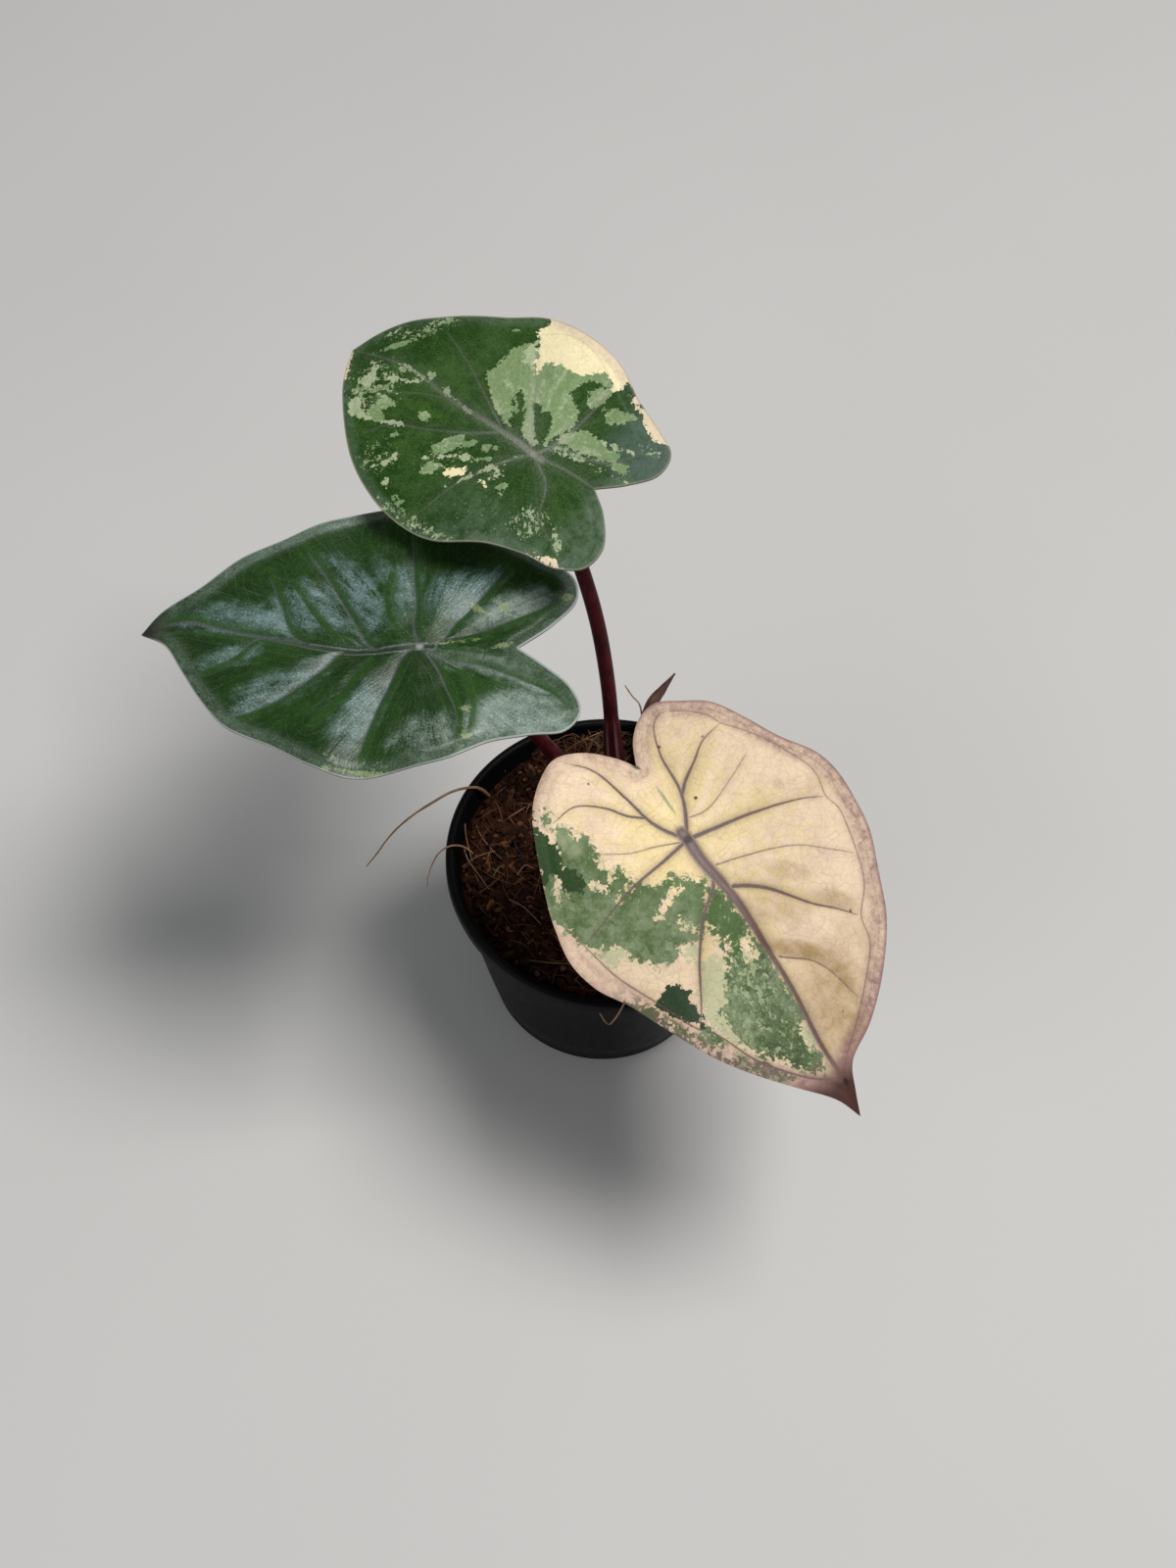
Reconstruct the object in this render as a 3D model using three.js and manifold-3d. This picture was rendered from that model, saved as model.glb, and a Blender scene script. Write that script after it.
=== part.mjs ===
// A young variegated alocasia with three leaves, standing in the soil of a small plastic nursery pot.
// Millimetres, +Z up. The origin is the centre of the pot's underside, on the surface that it stands on.

import * as THREE from 'three';
import { mergeVertices } from 'three/addons/utils/BufferGeometryUtils.js';
import Module from 'manifold-3d';

const wasm = await Module();
wasm.setup();

// Driving dimensions of the pot
const POT_HEIGHT = 63;
const RIM_RADIUS = 45;
const BASE_RADIUS = 31.7;
const WALL = 1.3;
const LIP_HEIGHT = 4.6;
const LIP_DEPTH = 2.2;
const LIP_THICKNESS = 2.6;
const LIP_ROUND = 1.2;
const LIP_BLEND = 1;
const FLOOR_UNDERSIDE = 2.6;
const FLOOR_TOP = 4.2;
const FOOT_STEP_HEIGHT = 5.2;
const FOOT_STEP_INSET = 0.6;
const FOOT_RING_WIDTH = 4.2;
const CENTRE_PAD_RADIUS = 6;
const DRAFT = 0.8;
const DRAIN_HOLES = 8;
const DRAIN_RADIUS = 3;
const DRAIN_CIRCLE = 18;
const DRAIN_SIDES = 10;
const POT_SEGMENTS = 40;

// Driving dimensions of the soil and the crown
const SOIL_LEVEL = 57.4;
const SOIL_MOUND = 1.8;
const SOIL_MOUND_FALL = 4;
const SOIL_EDGE_DROP = 1;
const SOIL_ROUGHNESS = 1.8;
const SOIL_SEED = 11;
const SOIL_RINGS = 7;
const SOIL_SEGMENTS = 36;
const CROWN_CENTRE = [-1.5, 22.5];
const CROWN_RADIUS = 10;
const CROWN_FOOT = 42;
const CROWN_TOP = 63;
const CROWN_SEGMENTS = 20;

// Driving dimensions of the leaves
const BLADE_THICKNESS = 0.8;
const BLADE_RINGS = 5;
const SIDE_STEPS = 26;
const BOSS_RADIUS = 2.7;
const BOSS_DEPTH = 2.4;
const BOSS_FLARE = 1.25;
const BOSS_SIDES = 10;
const STALK_TOP_RADIUS = 2.0;
const STALK_SHEATH_RADIUS = 3.3;
const SHEATH_LENGTH = 26;
const SHEATH_FLARE_POWER = 0.7;

// Clearance between pieces that touch
const GAP = 0.3;

// A fixed sequence of numbers from 0 to 1, so that the soil comes out the same each time
function makeRandom(seed) {
  let state = seed;
  return () => {
    state = (Math.imul(state, 1664525) + 1013904223) >>> 0;
    return state / 4294967296;
  };
}

// Solids for joining and cutting

function toSolid(geometry) {
  const bare = geometry.clone();
  bare.deleteAttribute('normal');
  bare.deleteAttribute('uv');
  const merged = mergeVertices(bare, 1e-4);
  const vertProperties = new Float32Array(merged.attributes.position.array);
  const triVerts = new Uint32Array(merged.index.array);
  return new wasm.Manifold(new wasm.Mesh({ numProp: 3, vertProperties, triVerts }));
}

function toGeometry(solid) {
  const mesh = solid.getMesh();
  const geometry = new THREE.BufferGeometry();
  geometry.setAttribute('position', new THREE.BufferAttribute(mesh.vertProperties, 3));
  geometry.setIndex(new THREE.BufferAttribute(mesh.triVerts, 1));
  geometry.computeVertexNormals();
  return geometry;
}

// A closed skin over rings of equally many points, with a fan over each end
function loftRings(rings) {
  const positions = [];
  const index = [];
  const count = rings[0].length;
  const addPoint = (p) => positions.push(p.x, p.y, p.z) / 3 - 1;
  rings.forEach((ring) => ring.forEach(addPoint));
  for (let i = 0; i + 1 < rings.length; i++) {
    for (let j = 0; j < count; j++) {
      const a = i * count + j;
      const b = i * count + (j + 1) % count;
      index.push(a, b, b + count, a, b + count, a + count);
    }
  }
  const centreOf = (ring) => ring.reduce((sum, p) => sum.add(p), new THREE.Vector3()).divideScalar(count);
  const first = addPoint(centreOf(rings[0]));
  const last = addPoint(centreOf(rings.at(-1)));
  const lastStart = (rings.length - 1) * count;
  for (let j = 0; j < count; j++) {
    const next = (j + 1) % count;
    index.push(first, next, j);
    index.push(last, lastStart + j, lastStart + next);
  }
  const geometry = new THREE.BufferGeometry();
  geometry.setAttribute('position', new THREE.Float32BufferAttribute(positions, 3));
  geometry.setIndex(index);
  return geometry;
}

function curveThrough(points) {
  const vectors = points.map(([x, y, z = 0]) => new THREE.Vector3(x, y, z));
  return new THREE.CatmullRomCurve3(vectors, false, 'centripetal');
}

// A round tube along a curve, whose radius is given at each fraction of its length
function taperedTube(curve, radiusAt, sides, steps) {
  const frames = curve.computeFrenetFrames(steps, false);
  const rings = [];
  for (let i = 0; i <= steps; i++) {
    const centre = curve.getPointAt(i / steps);
    const radius = radiusAt(i / steps);
    const ring = [];
    for (let j = 0; j < sides; j++) {
      const angle = 2 * Math.PI * j / sides;
      ring.push(centre.clone()
        .addScaledVector(frames.normals[i], radius * Math.cos(angle))
        .addScaledVector(frames.binormals[i], radius * Math.sin(angle)));
    }
    rings.push(ring);
  }
  return loftRings(rings);
}

// Pot

const LIP_FOOT = POT_HEIGHT - LIP_HEIGHT;
const WALL_SLOPE = (RIM_RADIUS - LIP_DEPTH - BASE_RADIUS) / LIP_FOOT;

function wallRadius(z) {
  return BASE_RADIUS + WALL_SLOPE * z;
}

function innerRadius(z) {
  return wallRadius(z) - WALL;
}

function buildPot() {
  const ringInside = BASE_RADIUS - FOOT_RING_WIDTH;
  const profile = [
    [0, 0],
    [CENTRE_PAD_RADIUS, 0],
    [CENTRE_PAD_RADIUS + DRAFT, FLOOR_UNDERSIDE],
    [ringInside - DRAFT, FLOOR_UNDERSIDE],
    [ringInside, 0],
    [BASE_RADIUS - DRAFT, 0],
    [BASE_RADIUS, DRAFT],
    [wallRadius(FOOT_STEP_HEIGHT) - FOOT_STEP_INSET, FOOT_STEP_HEIGHT],
    [wallRadius(FOOT_STEP_HEIGHT), FOOT_STEP_HEIGHT + FOOT_STEP_INSET],
    [wallRadius(LIP_FOOT), LIP_FOOT],
    [RIM_RADIUS - LIP_ROUND / 2, LIP_FOOT + LIP_ROUND / 4],
    [RIM_RADIUS, LIP_FOOT + LIP_ROUND],
    [RIM_RADIUS, POT_HEIGHT - LIP_ROUND],
    [RIM_RADIUS - LIP_ROUND / 2, POT_HEIGHT - LIP_ROUND / 4],
    [RIM_RADIUS - LIP_THICKNESS / 2, POT_HEIGHT],
    [RIM_RADIUS - LIP_THICKNESS + LIP_ROUND / 2, POT_HEIGHT - LIP_ROUND / 4],
    [RIM_RADIUS - LIP_THICKNESS, POT_HEIGHT - LIP_ROUND],
    [innerRadius(LIP_FOOT), LIP_FOOT - LIP_BLEND],
    [innerRadius(FLOOR_TOP), FLOOR_TOP],
    [0, FLOOR_TOP],
  ].map(([radius, z]) => new THREE.Vector2(radius, z));
  let pot = toSolid(new THREE.LatheGeometry(profile, POT_SEGMENTS).rotateX(Math.PI / 2));
  for (let i = 0; i < DRAIN_HOLES; i++) {
    const angle = 2 * Math.PI * i / DRAIN_HOLES;
    const hole = new THREE.CylinderGeometry(DRAIN_RADIUS, DRAIN_RADIUS, 4 * FLOOR_TOP, DRAIN_SIDES);
    hole.rotateX(Math.PI / 2).translate(DRAIN_CIRCLE * Math.cos(angle), DRAIN_CIRCLE * Math.sin(angle), 0);
    pot = pot.subtract(toSolid(hole));
  }
  return pot;
}

// Soil, a plug with a rough top that rises a little towards the crown

function soilTop(x, y) {
  const away = Math.hypot(x - CROWN_CENTRE[0], y - CROWN_CENTRE[1]) / RIM_RADIUS;
  return SOIL_LEVEL + SOIL_MOUND * Math.exp(-SOIL_MOUND_FALL * away * away);
}

function buildSoil() {
  const random = makeRandom(SOIL_SEED);
  const bottom = FLOOR_TOP + GAP;
  const edgeRadius = innerRadius(SOIL_LEVEL) - GAP;
  const ringAt = (radius, heightAt) => {
    const ring = [];
    for (let j = 0; j < SOIL_SEGMENTS; j++) {
      const angle = 2 * Math.PI * j / SOIL_SEGMENTS;
      const x = radius * Math.cos(angle);
      const y = radius * Math.sin(angle);
      ring.push(new THREE.Vector3(x, y, heightAt(x, y)));
    }
    return ring;
  };
  const rough = (x, y) => soilTop(x, y) + SOIL_ROUGHNESS * (random() - 0.5);
  const rings = [ringAt(innerRadius(bottom) - GAP, () => bottom)];
  rings.push(ringAt(edgeRadius, () => SOIL_LEVEL - SOIL_EDGE_DROP));
  for (let i = SOIL_RINGS - 1; i > 0; i--) {
    rings.push(ringAt(edgeRadius * i / SOIL_RINGS, rough));
  }
  return toSolid(loftRings(rings));
}

// Crown, the stem base that carries the stalks

function buildCrown(grow) {
  const profile = [
    [0, CROWN_FOOT - grow],
    [CROWN_RADIUS * 0.7 + grow, CROWN_FOOT - grow],
    [CROWN_RADIUS + grow, CROWN_FOOT + CROWN_RADIUS * 0.6],
    [CROWN_RADIUS + grow, CROWN_TOP - CROWN_RADIUS * 0.5],
    [CROWN_RADIUS * 0.9 + grow, CROWN_TOP - CROWN_RADIUS * 0.22],
    [CROWN_RADIUS * 0.6 + grow, CROWN_TOP - CROWN_RADIUS * 0.06],
    [0, CROWN_TOP + grow],
  ].map(([radius, z]) => new THREE.Vector2(radius, z));
  const geometry = new THREE.LatheGeometry(profile, CROWN_SEGMENTS).rotateX(Math.PI / 2);
  geometry.translate(CROWN_CENTRE[0], CROWN_CENTRE[1], 0);
  return toSolid(geometry);
}

// Leaves. Each blade lies in its own frame: x towards the tip, y across, z out of the upper face, with
// the origin at the hub, where the stalk joins. The two outlines run from the notch to the tip.

const LEAVES = {
  back: {
    hub: [-29.6, 53.4, 160],
    heading: 142.5,
    dip: 5.2,
    roll: -15.2,
    form: { droop: 0.0012, lobeDroop: 0.0008, arch: 0.0020, fold: 0.05, tipFrom: 44, tipDroop: 0.006,
      wave: 1.2, waveLength: 30, wavePhase: 0.6 },
    notch: [-19.2, -1.1],
    tip: [67, 0],
    left: [[-25.7, 3.2], [-31.6, 10.5], [-31.3, 16.9], [-25.5, 20.9], [-16.4, 22.2], [-7.4, 25.2],
      [3.8, 32], [14.3, 33.4], [25.1, 32.2], [39.6, 26.2], [51.9, 16.9], [61.1, 8.2]],
    right: [[-25, -6.4], [-29.4, -12.8], [-28.2, -19], [-21.3, -22.5], [-11.5, -26.5], [-0.2, -32.5],
      [9.9, -34], [25, -33.4], [34.4, -27.1], [47.4, -20.1], [57.5, -13.9], [63.4, -7.1]],
    midrib: [[-4, 0], [0, 0], [16, -0.8], [36, -1.6], [52, -2.2], [65, -0.4]],
    veins: [
      [[2, -1.5], [6.6, -7.1], [14.9, -18.2], [22.2, -26.8]],
      [[0, 0], [-3.7, -9.1], [-3.9, -19.8], [-3, -26]],
      [[0, 0], [-4.6, -4.6], [-13.8, -6.6], [-22, -14]],
      [[0, 0], [-3.5, 1.7], [-12, 9.2], [-20, 14]],
      [[1, 0], [5, 6.4], [10.2, 16.1], [13.3, 28]],
      [[11.3, -0.6], [18.1, 4.3], [28.8, 9.7], [40, 15.5]],
      [[10, -0.6], [18.3, -4.5], [33.8, -11.8], [44, -15.5]],
    ],
    stalk: [[-0.6, 25.6, 57], [-1.2, 26.8, 62], [-2.8, 29.6, 73], [-5.8, 34.8, 93], [-10.1, 40.2, 112],
      [-15.4, 44.8, 128], [-22.6, 49.8, 145]],
  },
  left: {
    hub: [-51.8, 7.7, 140],
    heading: 178.3,
    dip: 3.3,
    roll: -5,
    form: { droop: 0.0010, lobeDroop: 0.0006, arch: 0.0018, fold: 0.07, tipFrom: 56, tipDroop: 0.012,
      wave: 1.6, waveLength: 27, wavePhase: 2.0 },
    notch: [-23.6, -1.8],
    tip: [69.4, 0],
    left: [[-30.2, 2.1], [-37.1, 7.3], [-40.4, 13.9], [-37.2, 19.8], [-29, 21.8], [-20, 24.2],
      [-9.8, 30.8], [1, 34.5], [12, 36.9], [20.4, 35.2], [31, 30], [42.6, 26.2], [49.7, 19.6],
      [56.2, 11.5], [62.4, 3.8]],
    right: [[-31, -8.9], [-36, -17], [-34.3, -23.4], [-24.9, -28], [-9.7, -35.3], [3.8, -37.6],
      [15.3, -39.1], [26.3, -33.8], [35.3, -28.9], [46.5, -22.8], [56.5, -12.2], [65.3, -5.5]],
    midrib: [[-4, -0.4], [0, 0], [12, 1.8], [24, 1.9], [42, 0], [56, -2.6], [67, -1.2]],
    veins: [
      [[27, 1.5], [31, -0.2], [37, -10], [40, -17]],
      [[11, 1.6], [16.9, -5.6], [24, -15.5], [32.5, -25]],
      [[0, 0], [2.4, -8], [4.2, -18.4], [6.5, -31]],
      [[0, 0], [-4.9, -2.4], [-9.5, -10.6], [-17.5, -23]],
      [[-5.5, -3], [-12.5, -5.4], [-27.4, -13.3], [-31.8, -16.6]],
      [[34.5, 0.8], [41, 3], [50, 10.5]],
      [[15, 2], [22, 7.4], [31.8, 17.5], [40, 23]],
      [[0, 0], [3.2, 2.5], [7.8, 19], [10, 31.5]],
      [[0, 0], [-4.6, 5.1], [-11.3, 17.3], [-12, 24]],
      [[0, 0], [-7.1, 3.1], [-24.2, 6.4], [-37, 13]],
    ],
    stalk: [[-8, 19.4, 57.5], [-11.4, 20.4, 64], [-19.9, 21.6, 79.4], [-31, 20.2, 99], [-41.5, 16, 119]],
  },
  front: {
    hub: [17.2, -19.6, 108],
    heading: -51.9,
    dip: 11.6,
    roll: 5.9,
    form: { droop: 0.0009, lobeDroop: 0.0006, arch: 0.0021, fold: 0.05, tipFrom: 66, tipDroop: 0.012,
      wave: 1.4, waveLength: 32, wavePhase: 1.0 },
    notch: [-22.5, -0.8],
    tip: [78, 0],
    left: [[-28.8, 2.3], [-33.1, 7], [-34.4, 12.3], [-31.7, 18.2], [-27.6, 25], [-19.9, 30.6],
      [-10.6, 35.3], [-2, 40.7], [6.8, 43.2], [17, 42.3], [30, 36.8], [41.3, 32.2], [52, 23.5],
      [60.7, 13.8], [66.5, 4.8], [72.3, 2]],
    right: [[-26.9, -4.1], [-32.5, -10.7], [-34.5, -17.4], [-31.3, -23.6], [-25, -29.5], [-17.3, -33.1],
      [-6.8, -36.9], [1.7, -39.6], [11.8, -41.2], [19.8, -38.9], [27.4, -34.1], [36.9, -29.8],
      [47.9, -24], [57.7, -16.5], [65.4, -9.4], [72.3, -2.9]],
    midrib: [[-4, -0.6], [0, 0], [16.3, 1.8], [30.2, 2.2], [51.7, 1.3], [68.2, 0.8], [75, 0.2]],
    veins: [
      [[0, 0], [-10.6, 5.1], [-22.2, 6.2], [-29.5, 8.9], [-31.8, 12.5]],
      [[-9, 4.4], [-13.3, 8], [-20, 17.4], [-22.5, 25]],
      [[0, 0], [2, 15.7], [5.3, 30.5], [8.5, 38.5]],
      [[6.4, 0.6], [10, 7], [14.5, 22], [24.5, 35]],
      [[14, 1.6], [20.3, 10.4], [29.3, 17.8], [39, 28]],
      [[31.5, 2], [37.5, 5.7], [44.1, 12.1], [55.5, 15.5]],
      [[0, 0], [-8.5, -5.5], [-21.8, -9], [-32, -15.5]],
      [[-9, -5.7], [-16.7, -12.9], [-21.2, -20], [-20.5, -27]],
      [[0, 0], [-2.5, -8.2], [-6.1, -18.1], [-10, -26]],
      [[0, 0], [1.5, -7.3], [4.5, -21.4], [9, -35.5]],
      [[10.1, 0.8], [18.3, -7], [31.2, -16.4], [43, -22.5]],
    ],
    stalk: [[2.9, 17.4, 57.5], [4, 16.2, 63], [7.4, 10.2, 76], [12, 0, 89.5], [15.8, -12, 99.5]],
  },
};

const STALK_SIDES = 10;
const STALK_STEPS = 14;
const RIB_SIDES = 4;
const MIDRIB_STEPS = 8;
const VEIN_STEPS = 3;
const MIDRIB_HALF_WIDTH = 1.25;
const VEIN_HALF_WIDTH = 0.85;
const RIB_END_SHARE = 0.4;
const RIB_PROUD_ABOVE = 0.32;
const RIB_PROUD_BELOW = 0.85;
const WAVE_REACH = 38;
const WAVE_SIDE_SHIFT = 1.3;
const FOLD_SOFTNESS = 3;

// Height of a blade's upper face above its frame's plane
function bladeHeight(form, x, y) {
  const ahead = Math.max(x, 0);
  const behind = Math.min(x, 0);
  const beyond = Math.max(x - form.tipFrom, 0);
  let z = -form.droop * ahead * ahead - form.lobeDroop * behind * behind - form.arch * y * y;
  z += form.fold * (Math.hypot(y, FOLD_SOFTNESS) - FOLD_SOFTNESS) - form.tipDroop * beyond * beyond;
  const turn = 2 * Math.PI * x / form.waveLength + form.wavePhase + WAVE_SIDE_SHIFT * Math.sign(y);
  return z + form.wave * (y / WAVE_REACH) ** 2 * Math.sin(turn);
}

// The outline as evenly spaced points, up one side to the tip and back down the other to the notch
function bladeOutline(leaf) {
  const sidePoints = (points) => curveThrough([leaf.notch, ...points, leaf.tip]).getSpacedPoints(SIDE_STEPS);
  const up = sidePoints(leaf.left);
  const down = sidePoints(leaf.right).reverse();
  return [...up.slice(0, -1), ...down.slice(0, -1)];
}

// The sheet of the blade: both faces split into the same triangles round the hub, and a rim between them
function bladeSheet(leaf) {
  const outline = bladeOutline(leaf);
  const count = outline.length;
  const positions = [];
  const index = [];
  for (const depth of [0, BLADE_THICKNESS]) {
    positions.push(0, 0, bladeHeight(leaf.form, 0, 0) - depth);
    for (let ring = 1; ring <= BLADE_RINGS; ring++) {
      const share = ring / BLADE_RINGS;
      for (const point of outline) {
        const x = point.x * share;
        const y = point.y * share;
        positions.push(x, y, bladeHeight(leaf.form, x, y) - depth);
      }
    }
  }
  const underside = 1 + BLADE_RINGS * count;
  const at = (ring, i) => 1 + (ring - 1) * count + i % count;
  const addBoth = (a, b, c) => index.push(a, c, b, a + underside, b + underside, c + underside);
  for (let i = 0; i < count; i++) {
    addBoth(0, at(1, i), at(1, i + 1));
    for (let ring = 1; ring < BLADE_RINGS; ring++) {
      addBoth(at(ring, i), at(ring + 1, i), at(ring + 1, i + 1));
      addBoth(at(ring, i), at(ring + 1, i + 1), at(ring, i + 1));
    }
    const a = at(BLADE_RINGS, i);
    const b = at(BLADE_RINGS, i + 1);
    index.push(a, b, b + underside, a, b + underside, a + underside);
  }
  const geometry = new THREE.BufferGeometry();
  geometry.setAttribute('position', new THREE.Float32BufferAttribute(positions, 3));
  geometry.setIndex(index);
  return geometry;
}

// A rib that stands a little proud on top and more underneath, narrowing towards its end
function bladeRib(leaf, points, halfWidth, steps) {
  const path = curveThrough(points);
  const rings = [];
  for (let i = 0; i <= steps; i++) {
    const share = i / steps;
    const centre = path.getPointAt(share);
    const along = path.getTangentAt(share);
    const width = halfWidth * (1 - (1 - RIB_END_SHARE) * share);
    const top = RIB_PROUD_ABOVE * width;
    const bottom = -BLADE_THICKNESS - RIB_PROUD_BELOW * width;
    const ring = [];
    for (let j = 0; j < RIB_SIDES; j++) {
      const angle = 2 * Math.PI * j / RIB_SIDES;
      const across = width * Math.cos(angle);
      const x = centre.x - along.y * across;
      const y = centre.y + along.x * across;
      const lift = (top + bottom) / 2 + (top - bottom) / 2 * Math.sin(angle);
      ring.push(new THREE.Vector3(x, y, bladeHeight(leaf.form, centre.x, centre.y) + lift));
    }
    rings.push(ring);
  }
  return loftRings(rings);
}

function buildBlade(leaf) {
  let blade = toSolid(bladeSheet(leaf));
  blade = blade.add(toSolid(bladeRib(leaf, leaf.midrib, MIDRIB_HALF_WIDTH, MIDRIB_STEPS)));
  for (const vein of leaf.veins) {
    blade = blade.add(toSolid(bladeRib(leaf, vein, VEIN_HALF_WIDTH, VEIN_STEPS)));
  }
  return blade.add(toSolid(bladeBoss(0)));
}

// The swelling under the hub that the stalk meets
function bladeBoss(grow) {
  const top = -BLADE_THICKNESS / 2 + grow;
  const bottom = -BOSS_DEPTH - grow;
  const topRadius = BOSS_RADIUS * BOSS_FLARE + grow;
  const boss = new THREE.CylinderGeometry(topRadius, BOSS_RADIUS + grow, top - bottom, BOSS_SIDES);
  return boss.rotateX(Math.PI / 2).translate(0, 0, (top + bottom) / 2);
}

// The turn that lays a blade's frame along its heading, dip and roll
function leafMatrix(leaf) {
  const heading = THREE.MathUtils.degToRad(leaf.heading);
  const dip = THREE.MathUtils.degToRad(leaf.dip);
  const roll = THREE.MathUtils.degToRad(leaf.roll);
  const along = new THREE.Vector3(
    Math.cos(heading) * Math.cos(dip), Math.sin(heading) * Math.cos(dip), -Math.sin(dip));
  const level = new THREE.Vector3(-Math.sin(heading), Math.cos(heading), 0);
  const upright = new THREE.Vector3().crossVectors(along, level);
  const across = level.clone().multiplyScalar(Math.cos(roll)).addScaledVector(upright, Math.sin(roll));
  const normal = new THREE.Vector3().crossVectors(along, across);
  return new THREE.Matrix4().makeBasis(along, across, normal).setPosition(...leaf.hub);
}

// Each stalk runs from its socket in the crown to the boss under the hub, and is cut off against the boss
function stalkTube(leaf, grow) {
  const end = new THREE.Vector3(0, 0, -BOSS_DEPTH / 2).applyMatrix4(leafMatrix(leaf));
  const curve = curveThrough([...leaf.stalk, end.toArray()]);
  const length = curve.getLength();
  const radiusAt = (share) => {
    const rest = Math.max(0, 1 - share * length / SHEATH_LENGTH);
    return grow + STALK_TOP_RADIUS + (STALK_SHEATH_RADIUS - STALK_TOP_RADIUS) * rest ** SHEATH_FLARE_POWER;
  };
  return toSolid(taperedTube(curve, radiusAt, STALK_SIDES, STALK_STEPS));
}

function buildStalk(leaf) {
  const boss = bladeBoss(GAP).applyMatrix4(leafMatrix(leaf));
  return stalkTube(leaf, 0).subtract(toSolid(boss));
}

// Roots, each from a hole in the soil over the rim
const ROOT_SIDES = 6;
const ROOT_TAPER = 0.45;
const ROOTS = {
  root_long: { radius: 0.55, steps: 22, points: [[-34.5, 18.6, 55], [-36.1, 17.8, 59.5],
    [-37.4, 17.2, 62.2], [-39.2, 16.6, 64], [-42.6, 15.6, 64.3], [-46, 13.6, 64.6], [-50, 10.3, 64.4],
    [-54.8, 6.4, 63.4], [-59, 1.9, 62.3], [-61.6, -1.2, 60.4], [-63.4, -3, 57.6], [-66.2, -6.3, 55]] },
  root_short: { radius: 0.5, steps: 12, points: [[-37, -0.6, 55], [-38.6, -1, 59.6], [-41.2, -1.8, 63.2],
    [-43.9, -2.8, 64.1], [-46.4, -4.9, 63.8], [-48, -8, 62.2], [-48.8, -10.2, 59.6], [-48.9, -11.8, 57]] },
  root_front: { radius: 0.5, steps: 15, points: [[9, -36.6, 55], [8.4, -38.4, 59.6], [7.4, -41.2, 63.2],
    [6.4, -43.9, 64.1], [5.3, -46.2, 62.9], [4.2, -47.1, 60], [3, -47.3, 57.4], [2, -47.2, 58.3],
    [1.1, -47, 60.4], [0.2, -46.9, 62.6]] },
  root_rear: { radius: 0.5, steps: 12, points: [[5.6, 36.4, 55], [5.5, 38.2, 59.6], [5.2, 41, 63.4],
    [4.8, 43.9, 65.4], [3.6, 46.6, 68.4], [1.6, 48.4, 69], [0.2, 50.8, 68.4], [-0.8, 53.4, 67]] },
};

function rootTube(root, grow) {
  const radiusAt = (share) => grow + root.radius * (1 - ROOT_TAPER * share);
  return toSolid(taperedTube(curveThrough(root.points), radiusAt, ROOT_SIDES, root.steps));
}

// The dry sheath is a papery strip, arched across, that leans from the crown over the back of the rim
const SHEATH_PATH = [[7.2, 26.5, 58], [6.9, 31.5, 65.2], [6.4, 37.5, 70.8], [7, 43.2, 73.6],
  [9.8, 48.2, 74.6], [12.7, 52.4, 75.2]];
const SHEATH_HALF_WIDTH = 2.9;
const SHEATH_NARROWING = 0.92;
const SHEATH_TAPER_POWER = 2.2;
const SHEATH_THICKNESS = 0.7;
const SHEATH_CURL = 1.4;
const SHEATH_STEPS = 10;
const SHEATH_ACROSS = 4;

function buildDrySheath(grow) {
  const curve = curveThrough(SHEATH_PATH);
  const rings = [];
  for (let i = 0; i <= SHEATH_STEPS; i++) {
    const share = i / SHEATH_STEPS;
    const centre = curve.getPointAt(share);
    const along = curve.getTangentAt(share);
    const across = new THREE.Vector3(-along.y, along.x, 0).normalize().negate();
    const up = new THREE.Vector3().crossVectors(across, along).normalize();
    const halfWidth = SHEATH_HALF_WIDTH * (1 - SHEATH_NARROWING * share ** SHEATH_TAPER_POWER) + grow;
    const halfThickness = SHEATH_THICKNESS / 2 + grow;
    const ring = [];
    const put = (side, lift) => {
      const curl = SHEATH_CURL * Math.sin(Math.PI * share) * (1 - side * side);
      ring.push(centre.clone().addScaledVector(across, side * halfWidth)
        .addScaledVector(up, curl + lift));
    };
    for (let j = 0; j <= SHEATH_ACROSS; j++) {
      put(-1 + 2 * j / SHEATH_ACROSS, halfThickness);
    }
    for (let j = SHEATH_ACROSS; j >= 0; j--) {
      put(-1 + 2 * j / SHEATH_ACROSS, -halfThickness);
    }
    rings.push(ring);
  }
  return toSolid(loftRings(rings));
}

// Materials

const MATERIALS = {
  pot: new THREE.MeshStandardMaterial({ color: 0x101114, roughness: 0.42, metalness: 0 }),
  soil: new THREE.MeshStandardMaterial({ color: 0x3a2116, roughness: 0.95, metalness: 0 }),
  crown: new THREE.MeshStandardMaterial({ color: 0x3b2420, roughness: 0.8, metalness: 0 }),
  stalk: new THREE.MeshStandardMaterial({ color: 0x4a2029, roughness: 0.5, metalness: 0 }),
  blade_back: new THREE.MeshStandardMaterial({ color: 0x4b7a3e, roughness: 0.5, metalness: 0 }),
  blade_left: new THREE.MeshStandardMaterial({ color: 0x2f5240, roughness: 0.4, metalness: 0 }),
  blade_front: new THREE.MeshStandardMaterial({ color: 0xe0c4a4, roughness: 0.55, metalness: 0 }),
  dry: new THREE.MeshStandardMaterial({ color: 0x3d2418, roughness: 0.85, metalness: 0 }),
  root: new THREE.MeshStandardMaterial({ color: 0xa06a3c, roughness: 0.7, metalness: 0 }),
};

// Assembly

const group = new THREE.Group();

function place(name, solid, material, parent = group) {
  const mesh = new THREE.Mesh(toGeometry(solid), material);
  mesh.name = name;
  parent.add(mesh);
}

let soil = buildSoil().subtract(buildCrown(GAP));
let crown = buildCrown(0);
const drySheath = buildDrySheath(0);
crown = crown.subtract(buildDrySheath(GAP));
soil = soil.subtract(buildDrySheath(GAP));

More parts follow.
